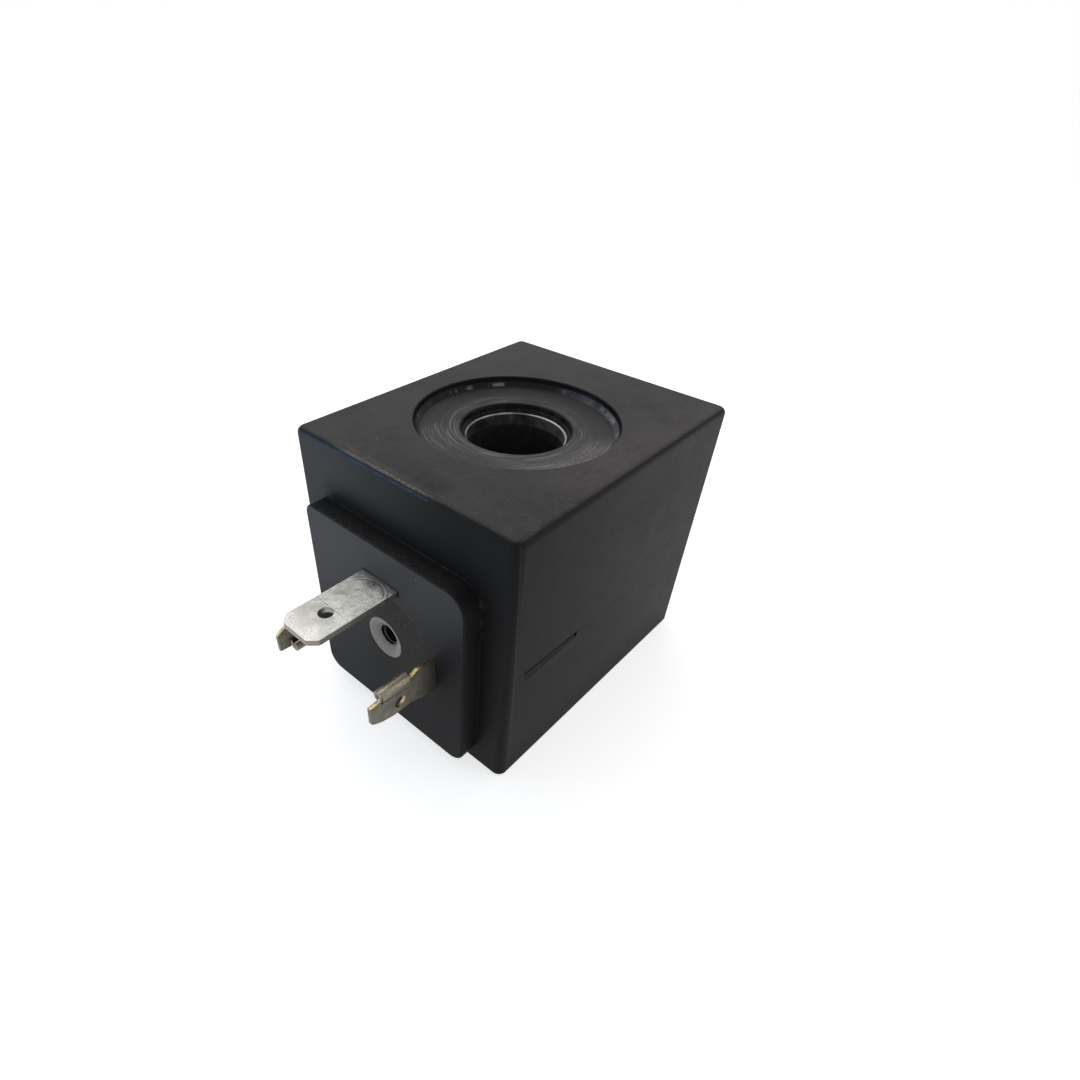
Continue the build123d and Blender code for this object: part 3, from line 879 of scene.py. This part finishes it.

# %% [markdown]
# The casing is glass-filled black plastic, and this one has been in use. A thin grey haze of dust and
# rubbing, with painted sheen, lies on the top, brown wear along its front edge, and rub marks run round
# the recess, where a washer was turned tight. A gasket left a round print on the plug base. Painted
# light and shade lie on its faces as well.

# %% Finish of the casing
def make_casing_plastic():
    material, place, x, y, z = new_finish("casing_plastic")
    way_x, way_y, way_z = facing(material)
    cloud = noise(place, 7.0, 4.0)
    mottle = noise(place, 1.3, 5.0, 0.65)
    grain = noise(place, 0.16, 3.0, 0.6)
    from_axis = radius_of(x, y)
    from_screw = radius_of(x, z, (0.0, screw_z))

    colour = mix(mottle, (0.0062, 0.0065, 0.0074), (0.0098, 0.0101, 0.0112))
    speckle = spread(noise(place, 0.28, 5.0, 0.8), 0.35, 0.65, 0.62, 1.08)
    on_top = spread(way_z, 0.75, 0.97) * spread(z, top_z - 2.5, top_z - 1.6)
    # The grey haze on the top is dust and painted sheen, lighter towards the right back.
    dust_and_sheen = on_top * speckle * spread(cloud + mottle * 0.5, 0.35, 1.0, 0.48, 1.15)
    smear = band(y, -19.8, 0.7, 2.2) * band(x, 1.0, 3.2, 4.0) * spread(cloud, 0.35, 0.6)
    dust_and_sheen = dust_and_sheen * (1.0 - smear * 0.65)
    # Painted shade: the haze is taken off towards the back of the recess, so the recess floor is darker
    # there.
    below_top = spread(z, recess_floor_z + 0.5, recess_floor_z + 0.3)
    backwards = y * 0.7 - x * 0.7
    dust_and_sheen = dust_and_sheen * (1.0 - below_top * spread(backwards, -9.0, 8.0, 0.0, 0.5))
    colour = mix(
        dust_and_sheen, colour,
        mix(spread(x, 8.0, 17.0) * spread(y, -17.0, -6.0), (0.044, 0.042, 0.041), (0.056, 0.05, 0.049)),
    )

    on_right = spread(way_x, 0.8, 0.98)
    corner_line = spread(way_x, 0.5, 0.8) * band(y + z * 0.033, -20.15, 0.04, 0.14)
    colour = mix(corner_line * 0.7, colour, (0.03, 0.03, 0.03))
    # Painted light: the right face is lighter towards its far, upper end, with a mottle.
    far_side_light = (
        on_right * spread(y + z * 0.5, -10.0, 34.0, 0.05, 1.0) * spread(cloud, 0.28, 0.72, 0.45, 1.05)
        * speckle
    )
    colour = mix(far_side_light, colour, (0.043, 0.041, 0.04))
    unseen = spread(way_y, 0.8, 0.98) + spread(way_x, -0.8, -0.98) + spread(way_z, -0.8, -0.98)
    handled = unseen * spread(cloud, 0.28, 0.72, 0.35, 1.0) * speckle
    colour = mix(handled, colour, (0.046, 0.044, 0.043))
    low_shade = on_right * spread(z, 7.0, 1.0) * spread(y, 24.0, 8.0, 0.3, 1.0)
    colour = mix(low_shade * 0.8, colour, (0.0025, 0.0025, 0.0025))
    on_front = spread(-way_y, 0.8, 0.98)
    # Painted light: the front face is lighter towards its upper left.
    upper_left_light = on_front * spread(x, 12.0, -16.0) * spread(z, 8.0, 34.0, 0.1, 1.0)
    # Painted shade just above the ledge of the plug base takes that light away.
    shade_above_ledge = (
        spread(y, front_y + 0.3, front_y + 0.1) * spread(z, base_top + 4.2, base_top + 0.6)
        * spread(z, base_top - 0.5, base_top) * spread(x, -14.5, -11.0)
    )
    upper_left_light = upper_left_light * (1.0 - shade_above_ledge * 0.9)
    colour = mix(upper_left_light, colour, (0.05, 0.055, 0.057))

    near_rim = band(y, front_y + 0.9, 0.25, 0.9) * spread(z, top_z - 0.5, top_z - 0.1)
    rim_wear = near_rim * band(x, -3.0, 3.0, 8.0) * spread(mottle, 0.38, 0.62, 0.2, 1.0)
    colour = mix(rim_wear * 0.7, colour, (0.07, 0.058, 0.05))
    front_rim = spread(y, front_y + 1.0, front_y + 0.9) * spread(z, top_z - 1.0, top_z - 0.9)
    dabs = noise(place, 0.45, 5.0, 0.75, (0.5, 1.0, 1.0))
    # A painted blue reflection along the front rim, in blotches.
    blue_reflection = (
        front_rim * band(way_z, 0.48, 0.08, 0.16) * band(x, -6.0, 10.0, 3.5)
        * spread(dabs, 0.3, 0.7, 0.3, 1.0)
    )
    colour = mix(blue_reflection * 0.85, colour, (0.042, 0.07, 0.118))
    fine_dabs = noise(place, 0.22, 4.0, 0.7, (0.5, 1.0, 1.0))
    worn_line = (
        front_rim * band(way_z, 0.86, 0.05, 0.08) * band(x, -2.0, 5.0, 5.0)
        * spread(fine_dabs, 0.38, 0.64, 0.3, 1.0)
    )
    colour = mix(worn_line * 0.85, colour, (0.17, 0.16, 0.15))
    grit = noise(place, 0.3, 5.0, 0.8)
    right_rim = (
        on_top * band(x, half_width - 1.0, 0.5, 2.2) * spread(y, -3.0, -10.0) * spread(grit, 0.5, 0.72)
        * spread(mottle, 0.42, 0.58)
    )
    colour = mix(right_rim * 0.8, colour, (0.12, 0.114, 0.105))
    streaks = noise(place, 0.6, 5.0, 0.75, (1.0, 0.35, 1.0))
    rust_film = on_top * band(x, 15.6, 1.0, 3.0) * band(y, -1.5, 3.5, 8.0) * spread(streaks, 0.3, 0.7)
    colour = mix(rust_film * 0.5, colour, (0.085, 0.062, 0.064))

    in_recess = (
        band(z, recess_floor_z, 0.1, 0.1) * spread(from_axis, lip_radius, lip_radius + 0.5)
        * spread(from_axis, floor_radius + 0.1, floor_radius - 0.1)
    )
    angle = calc("ARCTAN2", y, x)
    polar = vector((from_axis + angle * 0.25) * 3.6, angle * 1.3)
    rub_lines = spread(noise(polar, 1.0, 4.0, 0.65), 0.44, 0.66)
    front_part = spread(y, 9.0, -7.0, 0.45, 1.0)
    lip_rings = spread(from_axis, 10.6, 8.4) * spread(from_axis, 7.5, 8.0)
    left_patch = band(x, -5.5, 2.2, 1.5) * band(y, -9.5, 2.0, 1.5)
    rubbed = in_recess * rub_lines * calc("MAXIMUM", lip_rings * front_part, left_patch)
    colour = mix(rubbed * 0.9, colour, (0.15, 0.148, 0.152))
    rightwards = x + y
    # Scuffs with painted sheen make the recess floor lighter towards the front and the right.
    scuffs_and_sheen = (
        in_recess * spread(from_axis, 8.6, 11.2) * spread(backwards, -2.0, -7.0)
        * spread(rightwards, -6.0, 4.0, 0.1, 1.0) * spread(grit + rub_lines * 0.15, 0.34, 0.74)
    )
    colour = mix(scuffs_and_sheen * 0.9, colour, (0.19, 0.174, 0.172))

    on_base = on_front * spread(y, face_y + 0.4, face_y + 0.1)
    # Painted light: the face of the plug base is lighter towards its upper left.
    base_face_light = on_base * spread(z - x * 0.5, 10.0, 34.0)
    colour = mix(base_face_light, colour, (0.072, 0.073, 0.08))
    print_side = on_base * spread(x + z * 0.5, 4.0, 12.5)
    wobble = (noise(place, 2.4, 3.0) - 0.5) * 2.6
    print_radius = from_screw + wobble
    gasket_print = print_side * spread(print_radius, 8.25, 8.0) * spread(mottle, 0.2, 0.7, 0.35, 1.0)
    colour = mix(gasket_print, colour, (0.024, 0.0215, 0.017))
    print_edge = print_side * band(print_radius, 8.3, 0.03, 0.12) * spread(mottle, 0.35, 0.6, 0.2, 1.0)
    colour = mix(print_edge * 0.5, colour, (0.06, 0.056, 0.048))
    dusty = gasket_print * band(print_radius, 6.8, 0.9, 1.3) * spread(grit, 0.52, 0.72)
    colour = mix(dusty * 0.6, colour, (0.095, 0.084, 0.068))
    dots = gasket_print * specks(place, 0.6, 0.14, 0.6)
    colour = mix(dots, colour, (0.15, 0.12, 0.09))

    foot = band(y, front_y - 0.25, 0.25, 0.2) * band(x, base_half_width + 0.2, 0.3, 0.25)
    residue = foot * band(z, 27.2, 2.4, 1.6) * spread(mottle, 0.45, 0.65)
    colour = mix(residue * 0.7, colour, (0.05, 0.028, 0.017))
    ledge = spread(way_z, 0.5, 0.9) * band(z, base_top, 0.3, 0.3)
    crumbs = (
        ledge * spread(noise(place, 0.3, 5.0, 0.8), 0.46, 0.66) * spread(x, -13.5, -7.0)
        * spread(x, 12.5, 9.5, 0.25, 1.0) * spread(y + cloud * 2.5, front_y + 1.0, face_y + 1.2)
    )
    colour = mix(crumbs * 0.85, colour, (0.046, 0.04, 0.033))
    dust = specks(place, 2.1, 0.085, 0.14) + specks(place, 5.3, 0.15, 0.16)
    edge_dust = on_right * spread(y, -18.9, -19.6) * spread(z, 9.5, 7.0)
    dust = dust + edge_dust * specks(place, 0.9, 0.11, 0.5)
    colour = mix(dust * 0.85, colour, (0.55, 0.54, 0.52))

    marks = 0.0
    for first, last, width in (
        ((-10.2, -20.0), (-8.4, -20.8), 0.09),
        ((-8.4, -20.8), (-8.8, -18.7), 0.08),
        ((-5.2, -21.2), (-7.3, -17.5), 0.05),
        ((12.0, -20.9), (9.6, -9.0), 0.03),
        ((13.5, -20.5), (16.2, -21.9), 0.03),
    ):
        marks = marks + scratch(x, y, first, last, width)
    marks = marks * on_top
    hairs = spread(noise(place, 0.9, 2.0, 0.5, (4.5, 0.35, 1.0)), 0.66, 0.74)
    hairs = hairs + spread(noise(place, 1.1, 2.0, 0.5, (0.4, 4.0, 0.8)), 0.68, 0.76)
    colour = mix(hairs * (on_top + unseen) * 0.28, colour, (0.11, 0.105, 0.1))
    colour = mix(marks * 0.35, colour, (0.08, 0.076, 0.072))
    beside = (
        spread(x, half_width - 0.8, half_width - 0.7) * band(y, -13.3, 5.6, 0.05)
        * band(z, 18.1, 0.9, 0.1)
    )
    torn = beside * spread(x, half_width - 0.012, half_width - 0.04)
    torn_grain = spread(noise(place, 0.7, 5.0, 0.7), 0.36, 0.64)
    colour = mix(torn, colour, mix(torn_grain, (0.012, 0.011, 0.009), (0.03, 0.028, 0.024)))
    # Painted shadow under the upper lip of the scar, and painted shade on its near end wall.
    under_lip = z + (y - scar_front_y) * 0.028 + mottle * 0.25
    lip_shadow = torn * spread(under_lip, 18.05, 18.14)
    end_wall_shade = torn * spread(y, scar_front_y + 0.42, scar_front_y + 0.3)
    colour = mix(calc("MAXIMUM", lip_shadow, end_wall_shade), colour, (0.0008, 0.0008, 0.0008))
    # A painted highlight along a faint ridge below the scar.
    ridge_highlight = (
        on_right * band(z + y * 0.05, 16.05, 0.1, 0.8) * band(y, -12.0, 2.0, 5.0)
        * spread(mottle, 0.3, 0.6, 0.4, 1.0)
    )
    colour = mix(ridge_highlight * 0.2, colour, (0.06, 0.059, 0.056))
    # A painted highlight along the edge of the raised foot line, broken by the mottle.
    foot_highlight = on_front * band(y, front_y - foot_line, 0.03, 0.04)
    foot_highlight = foot_highlight * spread(mottle, 0.35, 0.62, 0.15, 1.0) * spread(x, 9.0, 13.5, 1.0, 0.45)
    colour = mix(foot_highlight * 0.8, colour, (0.062, 0.062, 0.06))
    parting_ends = calc("MAXIMUM", on_right * band(y, 0.7, 6.2, 1.2), unseen * spread(cloud, 0.42, 0.5))
    parting = parting_ends * band(z, 17.96, 0.03, 0.06)
    colour = mix(parting * 0.7, colour, (0.004, 0.004, 0.004))
    crack = on_base * scratch(x, z, (3.2, 21.4), (3.8, 20.9), 0.14)
    colour = mix(crack, colour, (0.002, 0.002, 0.002))

    tool_rings = calc("SINE", from_axis * 24.0)
    on_lip = band(from_axis, 7.9, 0.6, 0.5) * spread(way_z, 0.2, 0.6)
    rough = spread(mottle, 0.3, 0.7, 0.5, 0.54) + cloud * 0.06
    rough = rough - in_recess * 0.1
    height = (
        grain * 0.005 + mottle * 0.0015 + tool_rings * on_lip * 0.01 + rubbed * 0.004 - marks * 0.02
        - parting * 0.03
    )
    return make_finish(material, colour, rough, height=height, specular=0.08)


def make_recess_shade_plastic():
    material, place, x, y, z = new_finish("recess_shade_plastic")
    mottle = noise(place, 0.5, 5.0, 0.7)
    turned = noise(place, 1.2, 4.0, 0.65)
    smears = noise(place, 2.4, 4.0, 0.7)
    from_axis = radius_of(x, y)
    on_foot = band(z, (recess_floor_z + recess_wall_z) / 2, 0.3, 0.08)
    glints = noise(vector(x / from_axis, y / from_axis), 0.19, 2.0, 0.55)
    # The plastic here is darker than the casing's, as painted shade in the recess and the throat.
    colour = mix(mottle, (0.0022, 0.0023, 0.0026), (0.005, 0.0052, 0.0056))
    # Painted sheen lightens the sloped foot.
    colour = mix(on_foot, colour, (0.012, 0.0125, 0.014))
    # A painted reflection in streaks on the right side of the foot.
    right_side_reflection = on_foot * spread(x + y, 9.0, 13.5) * spread(glints, 0.3, 0.6, 0.35, 1.0)
    colour = mix(right_side_reflection, colour, (0.058, 0.06, 0.066))
    # Painted glints along the middle of the foot.
    mid_foot = band(z, (recess_floor_z + recess_wall_z) / 2, 0.02, 0.3)
    painted_glints = mid_foot * spread(glints, 0.52, 0.66) * spread(mottle, 0.3, 0.6, 0.4, 1.0)
    colour = mix(painted_glints, colour, (0.17, 0.17, 0.166))
    ring_lines = spread(calc("SINE", z * 26.0), 0.3, 0.9) * spread(from_axis, 8.0, 7.6)
    colour = mix(ring_lines * spread(smears, 0.45, 0.6), colour, (0.03, 0.03, 0.032))
    rough = spread(turned, 0.35, 0.65, 0.22, 0.36)
    height = turned * 0.02 + mottle * 0.004
    return make_finish(material, colour, rough, height=height, specular=0.04)


casing.data.materials.append(make_casing_plastic())
casing.data.materials.append(make_recess_shade_plastic())

# %% [markdown]
# The earth blade is plain steel with a dull coat of tin. The coat is cloudy, with bright and
# matt patches, fine handling scratches, a scribed line beside the hole and the curved marks of
# the bending tool near its root.

# %% Finish of the earth blade
def make_tinned_steel():
    material, place, x, y, z = new_finish("tinned_steel")
    cloud = noise(place, 2.6, 4.0, 0.6)
    patch = noise(place, 0.75, 5.0, 0.7)
    fine = noise(place, 0.12, 2.0, 0.5)
    brushed = noise(place, 0.5, 3.0, 0.6, (1.0, 0.12, 1.0))
    # Painted light: the tin is lighter near the root and at the tip than along the middle of the blade.
    tin_with_painted_light = mix(spread(y, face_y - 5.0, face_y - 1.0), (0.27, 0.267, 0.25), (0.6, 0.6, 0.57))
    tin_with_painted_light = mix(spread(y, face_y - 8.5, face_y - 11.5), tin_with_painted_light, (0.36, 0.355, 0.325))
    bright = mix(0.35, tin_with_painted_light, (0.72, 0.72, 0.69))
    colour = mix(spread(cloud * 0.6 + patch * 0.4, 0.42, 0.58), tin_with_painted_light, bright)
    blotch = spread(noise(place, 0.32, 5.0, 0.8), 0.56, 0.7)
    colour = mix(
        blotch * spread(y, face_y - 9.5, face_y - 2.0, 0.25, 0.6), colour, (0.13, 0.127, 0.115)
    )
    tarnish = spread(noise(place, 0.24, 5.0, 0.8), 0.48, 0.62)
    colour = mix(tarnish * spread(cloud, 0.35, 0.6, 0.15, 0.6), colour, (0.16, 0.155, 0.14))
    scuffs = calc(
        "MAXIMUM", spread(noise(place, 0.22, 4.0, 0.7, (1.0, 0.15, 1.0)), 0.58, 0.72),
        spread(noise(place, 0.25, 4.0, 0.7, (0.2, 1.0, 1.0)), 0.6, 0.74),
    )
    near_root = spread(y, face_y - 8.0, face_y - 3.0, 0.3, 0.75)
    colour = mix(scuffs * near_root, colour, (0.12, 0.115, 0.1))
    stain = band(radius_of(x, y, (-0.1, face_y - 1.3)), 0.0, 0.2, 1.1) * spread(patch, 0.35, 0.6)
    colour = mix(stain * 0.85, colour, (0.06, 0.056, 0.05))
    from_bend = radius_of(x, y, (0.3, face_y - 3.55))
    arcs = calc("MAXIMUM", band(from_bend, 3.45, 0.03, 0.12), band(from_bend, 2.95, 0.03, 0.16))
    arcs = arcs * spread(y, face_y - 2.6, face_y - 1.6) * spread(patch, 0.3, 0.5)
    colour = mix(arcs * 0.6, colour, (0.07, 0.065, 0.055))
    sheared = spread(calc("ABSOLUTE", facing(material)[0]), 0.8, 0.98)
    colour = mix(sheared * 0.8, colour, (0.13, 0.125, 0.115))
    scribed = band(y + x * 0.03, earth_hole_y + 0.95, 0.02, 0.05)
    tip_slope = spread(-facing(material)[1], 0.3, 0.5) * spread(y, tip_y + 1.6, tip_y + 1.4)
    colour = mix(tip_slope * 0.8, colour, (0.2, 0.175, 0.165))
    edge_line = band(x, 0.0, 2.95, 0.08)
    colour = mix(scribed * 0.45, colour, (0.2, 0.19, 0.17))
    pits = specks(place, 0.7, 0.09, 0.35)
    colour = mix(pits * 0.6, colour, (0.16, 0.15, 0.13))
    rough = spread(patch, 0.3, 0.7, 0.26, 0.44) + brushed * 0.08
    rough = rough + (1.0 - edge_line) * 0.08
    height = patch * 0.03 + cloud * 0.03 + fine * 0.005 - scribed * 0.012 - arcs * 0.01 - pits * 0.01
    return make_finish(material, colour, rough, 1.0, height)


blade.data.materials.append(make_tinned_steel())

# %% [markdown]
# The contacts were stamped from tin-plated strip, so their flats are grey and their cut edges show the
# yellow brass. The hem is pitted, and it is painted brighter with bright specks in its pits, as a
# painted highlight, with painted shade under the roll.

# %% Finishes of the contacts
def make_tinned_brass():
    material, place, x, y, z = new_finish("tinned_brass")
    cloud = noise(place, 1.8, 4.0, 0.6)
    patch = noise(place, 0.4, 5.0, 0.7)
    drawn = noise(place, 0.35, 3.0, 0.6, (1.0, 0.1, 1.0))
    colour = mix(spread(cloud, 0.3, 0.7), (0.098, 0.091, 0.072), (0.165, 0.152, 0.122))
    spots = noise(place, 0.16, 4.0, 0.75)
    colour = mix(spread(spots, 0.48, 0.66, 0.0, 0.4), colour, (0.06, 0.055, 0.042))
    colour = mix(spread(spots, 0.48, 0.34, 0.0, 0.4), colour, (0.3, 0.285, 0.24))
    root = spread(y, face_y - 4.0, face_y - 1.5)
    colour = mix(root * 0.6, colour, (0.28, 0.275, 0.25))
    upright = turn_z + (z - turn_z) * calc("SIGN", x)
    above_crease = upright + y * 0.114 + (-screw_z - 1.69 - 0.114 * (face_y - 8.7))
    along_hem = band(y, face_y - 6.35, 2.15, 0.08)
    # Painted highlight: the rolled hem is lighter.
    rolled = along_hem * spread(above_crease, 0.0, 0.1)
    colour = mix(rolled * 0.35, colour, (0.3, 0.275, 0.21))
    # Painted shade just above the crease, under the roll.
    shade_under_roll = along_hem * band(above_crease, 0.25, 0.1, 0.25)
    colour = mix(shade_under_roll * 0.45, colour, (0.07, 0.064, 0.05))
    crease_line = along_hem * band(above_crease, 0.0, 0.03, 0.07)
    colour = mix(crease_line * 0.85, colour, (0.02, 0.018, 0.014))
    root_line = spread(y, face_y - 0.16, face_y - 0.08)
    colour = mix(root_line * 0.8, colour, (0.42, 0.36, 0.2))
    # The pits on the hem carry bright specks, as painted glints.
    pits = specks(place, 0.26, 0.07, 0.4) * rolled
    colour = mix(pits * 0.6, colour, (0.7, 0.65, 0.52))
    rough = spread(patch + drawn * 0.4, 0.4, 1.0, 0.3, 0.48)
    height = patch * 0.012 + cloud * 0.012 - pits * 0.01 + drawn * 0.006 - crease_line * 0.03
    return make_finish(material, colour, rough, 1.0, height)


def make_raw_brass():
    material, place, *_ = new_finish("raw_brass_edge")
    sheared = noise(place, 0.25, 4.0, 0.7, (0.3, 1.0, 1.0))
    colour = mix(spread(sheared, 0.35, 0.65), (0.36, 0.25, 0.075), (0.62, 0.47, 0.2))
    tin_smear = spread(noise(place, 0.5, 4.0, 0.7), 0.42, 0.62)
    colour = mix(tin_smear * 0.7, colour, (0.26, 0.245, 0.2))
    rough = spread(sheared, 0.3, 0.7, 0.28, 0.5)
    return make_finish(material, colour, rough, 1.0, sheared * 0.02)


tinned_brass = make_tinned_brass()
raw_brass = make_raw_brass()
for piece in (contact, left_contact):
    piece.data.materials.append(tinned_brass)
    piece.data.materials.append(raw_brass)

# %% [markdown]
# The steel ring in the throat is the bored top leg of the frame. Its lower half millimetre is
# covered by an uneven flash of black plastic, which the mask here paints below a wavy line.

# %% Finish of the steel frame
def make_frame_steel():
    material, place, x, y, z = new_finish("frame_steel")
    cloud = noise(place, 2.2, 4.0, 0.6)
    rolled = noise(place, 0.5, 4.0, 0.65, (1.0, 1.0, 0.25))
    wavy = noise(place, 1.3, 4.0, 0.6, (1.0, 1.0, 0.0))
    from_axis = radius_of(x, y)
    flash_line = steel_z - 2.05 + wavy * 0.9
    flash = (
        spread(z - flash_line, 0.06, -0.06) * spread(from_axis, bore_radius + 0.1, bore_radius + 0.05)
    )
    colour = mix(spread(cloud, 0.3, 0.7), (0.4, 0.395, 0.375), (0.58, 0.575, 0.55))
    in_bore = spread(from_axis, slope_end_radius + 0.3, slope_end_radius + 0.1)
    # The bore is painted darker as shade, and lighter towards its right as painted light.
    bore_light_and_shade = mix(spread(cloud, 0.35, 0.65), (0.1, 0.105, 0.095), (0.26, 0.26, 0.24))
    bore_light_and_shade = mix(spread(x + y, 3.0, 8.5, 0.0, 0.55), bore_light_and_shade, (0.56, 0.56, 0.53))
    colour = mix(in_bore, colour, bore_light_and_shade)
    colour = mix(flash, colour, (0.004, 0.004, 0.0045))
    rough = spread(rolled, 0.3, 0.7, 0.34, 0.46) + flash * 0.15
    metal = 1.0 - flash
    height = rolled * 0.002 + flash * 0.004
    return make_finish(material, colour, rough, metal, height)


# %% [markdown]
# The carrier is a pale grey moulding. Only its boss shows, as a ring with a funnel for the screw. The
# funnel and the ring's outer corner are painted darker as shade, which leaves the rim lighter, and
# specks of grime lie on it.

# %% Finish of the terminal carrier
def make_carrier_plastic():
    material, place, x, y, z = new_finish("carrier_plastic")
    mottle = noise(place, 0.9, 5.0, 0.65)
    grain = noise(place, 0.14, 3.0, 0.6)
    from_screw = radius_of(x, z, (0.0, screw_z))
    colour = mix(mottle, (0.245, 0.245, 0.235), (0.36, 0.36, 0.35))
    # Painted shade in the funnel and in the ring's outer corner.
    funnel = spread(y, face_y + 0.15, face_y + 0.9)
    colour = mix(funnel * 0.6, colour, (0.085, 0.082, 0.072))
    corner = spread(from_screw, boss_radius - 0.16, boss_radius - 0.02)
    colour = mix(corner * 0.7, colour, (0.05, 0.05, 0.048))
    grime = specks(place, 0.5, 0.12, 0.3) * spread(mottle, 0.45, 0.6)
    colour = mix(grime * 0.8, colour, (0.04, 0.035, 0.03))
    height = grain * 0.006 + mottle * 0.008
    rough = spread(mottle, 0.3, 0.7, 0.48, 0.62)
    return make_finish(material, colour, rough, height=height, specular=0.35)


def make_shaded_insert_brass():
    material, place, *_ = new_finish("insert_brass")
    cloud = noise(place, 0.8, 4.0, 0.65)
    # The brass is painted nearly black: tarnish, with painted shade down in the threaded hole.
    colour = mix(spread(cloud, 0.35, 0.65), (0.012, 0.011, 0.009), (0.045, 0.04, 0.031))
    return make_finish(material, colour, spread(cloud, 0.3, 0.7, 0.28, 0.45), 1.0, cloud * 0.01)


bush.data.materials.append(make_shaded_insert_brass())

# %% [markdown]
# The pieces inside the casing are finished too, because a cutaway or an exploded view shows
# them: turns of enamelled wire, yellow film tape, woven sleeves and bright solder.

# %% Finishes of the inner pieces
def make_bobbin_plastic():
    material, place, *_ = new_finish("bobbin_plastic")
    mottle = noise(place, 1.1, 5.0, 0.65)
    fibres = noise(place, 0.3, 3.0, 0.6, (1.0, 1.0, 0.2))
    colour = mix(mottle, (0.008, 0.008, 0.009), (0.016, 0.016, 0.017))
    height = fibres * 0.006 + mottle * 0.008
    rough = spread(mottle, 0.3, 0.7, 0.42, 0.58)
    return make_finish(material, colour, rough, height=height, specular=0.3)


def make_enamelled_copper():
    material, place, x, y, z = new_finish("enamelled_copper")
    cloud = noise(place, 3.0, 3.0)
    slant = z + calc("ARCTAN2", y, x) * 0.03
    turns = calc("SINE", slant * (2 * math.pi / 0.22))
    colour = mix(spread(cloud, 0.3, 0.7), (0.42, 0.13, 0.045), (0.66, 0.26, 0.1))
    # The valleys between the turns are painted darker, as painted shade.
    colour = mix(spread(turns, -0.2, -1.0), colour, (0.16, 0.045, 0.018))
    rough = spread(cloud, 0.3, 0.7, 0.22, 0.34)
    return make_finish(material, colour, rough, 0.9, turns * 0.03, coat=0.4)


def make_polyester_tape():
    material, place, x, y, z = new_finish("polyester_tape")
    ripple = noise(place, 2.4, 4.0, 0.6, (1.0, 1.0, 0.3))
    lap = calc("FRACT", z / 9.3)
    lap_edge = spread(lap, 0.0, 0.02, 1.0, 0.0)
    colour = mix(ripple, (0.58, 0.42, 0.08), (0.8, 0.62, 0.2))
    colour = mix(lap_edge * 0.6, colour, (0.32, 0.22, 0.05))
    height = ripple * 0.06 - lap_edge * 0.04
    return make_finish(material, colour, spread(ripple, 0.3, 0.7, 0.22, 0.36), height=height)


def make_woven_sleeve():
    material, place, x, y, z = new_finish("sleeve_braid")
    yarn_rise = y * (2 * math.pi / 0.55)
    around_x = calc("ABSOLUTE", x) - 11.95
    around = (around_x + z) * (2 * math.pi / 0.5)
    over = calc("SINE", yarn_rise + around)
    under = calc("SINE", yarn_rise - around)
    weave = over * under
    soiled = noise(place, 1.6, 4.0, 0.6)
    colour = mix(spread(weave, -1.0, 0.6), (0.52, 0.48, 0.38), (0.84, 0.81, 0.72))
    colour = mix(spread(soiled, 0.5, 0.75, 0.0, 0.5), colour, (0.5, 0.42, 0.3))
    return make_finish(material, colour, 0.8, height=weave * 0.05)


def make_solder():
    material, place, *_ = new_finish("solder")
    cloud = noise(place, 0.7, 4.0, 0.6)
    colour = mix(spread(cloud, 0.35, 0.65), (0.5, 0.5, 0.49), (0.7, 0.7, 0.69))
    flux = specks(place, 0.6, 0.15, 0.2)
    colour = mix(flux * 0.6, colour, (0.35, 0.22, 0.07))
    return make_finish(material, colour, spread(cloud, 0.3, 0.7, 0.14, 0.34), 1.0, cloud * 0.05)


def make_rivet_steel():
    material, place, *_ = new_finish("rivet_steel")
    hammered = noise(place, 0.6, 4.0, 0.6)
    colour = mix(spread(hammered, 0.35, 0.65), (0.4, 0.4, 0.39), (0.6, 0.6, 0.58))
    return make_finish(material, colour, spread(hammered, 0.3, 0.7, 0.24, 0.42), 1.0, hammered * 0.03)


finishes = {
    "bobbin_plastic": make_bobbin_plastic(),
    "enamelled_copper": make_enamelled_copper(),
    "polyester_tape": make_polyester_tape(),
    "frame_steel": make_frame_steel(),
    "rivet_steel": make_rivet_steel(),
    "carrier_plastic": make_carrier_plastic(),
    "sleeve_braid": make_woven_sleeve(),
    "solder": make_solder(),
}
replaced = (
    "moulded_casing", "earth_blade", "power_contact_right", "power_contact_left", "screw_insert"
)
for row in frame["record"]["subparts"]:
    if row["node"] not in replaced:
        node = frame["nodes"][row["node"]]
        node.data.materials.clear()
        node.data.materials.append(finishes[row["material_slot"]])
print("nodes with a finish:", len(frame["nodes"]) - len(replaced), "and new pieces:", len(replaced))
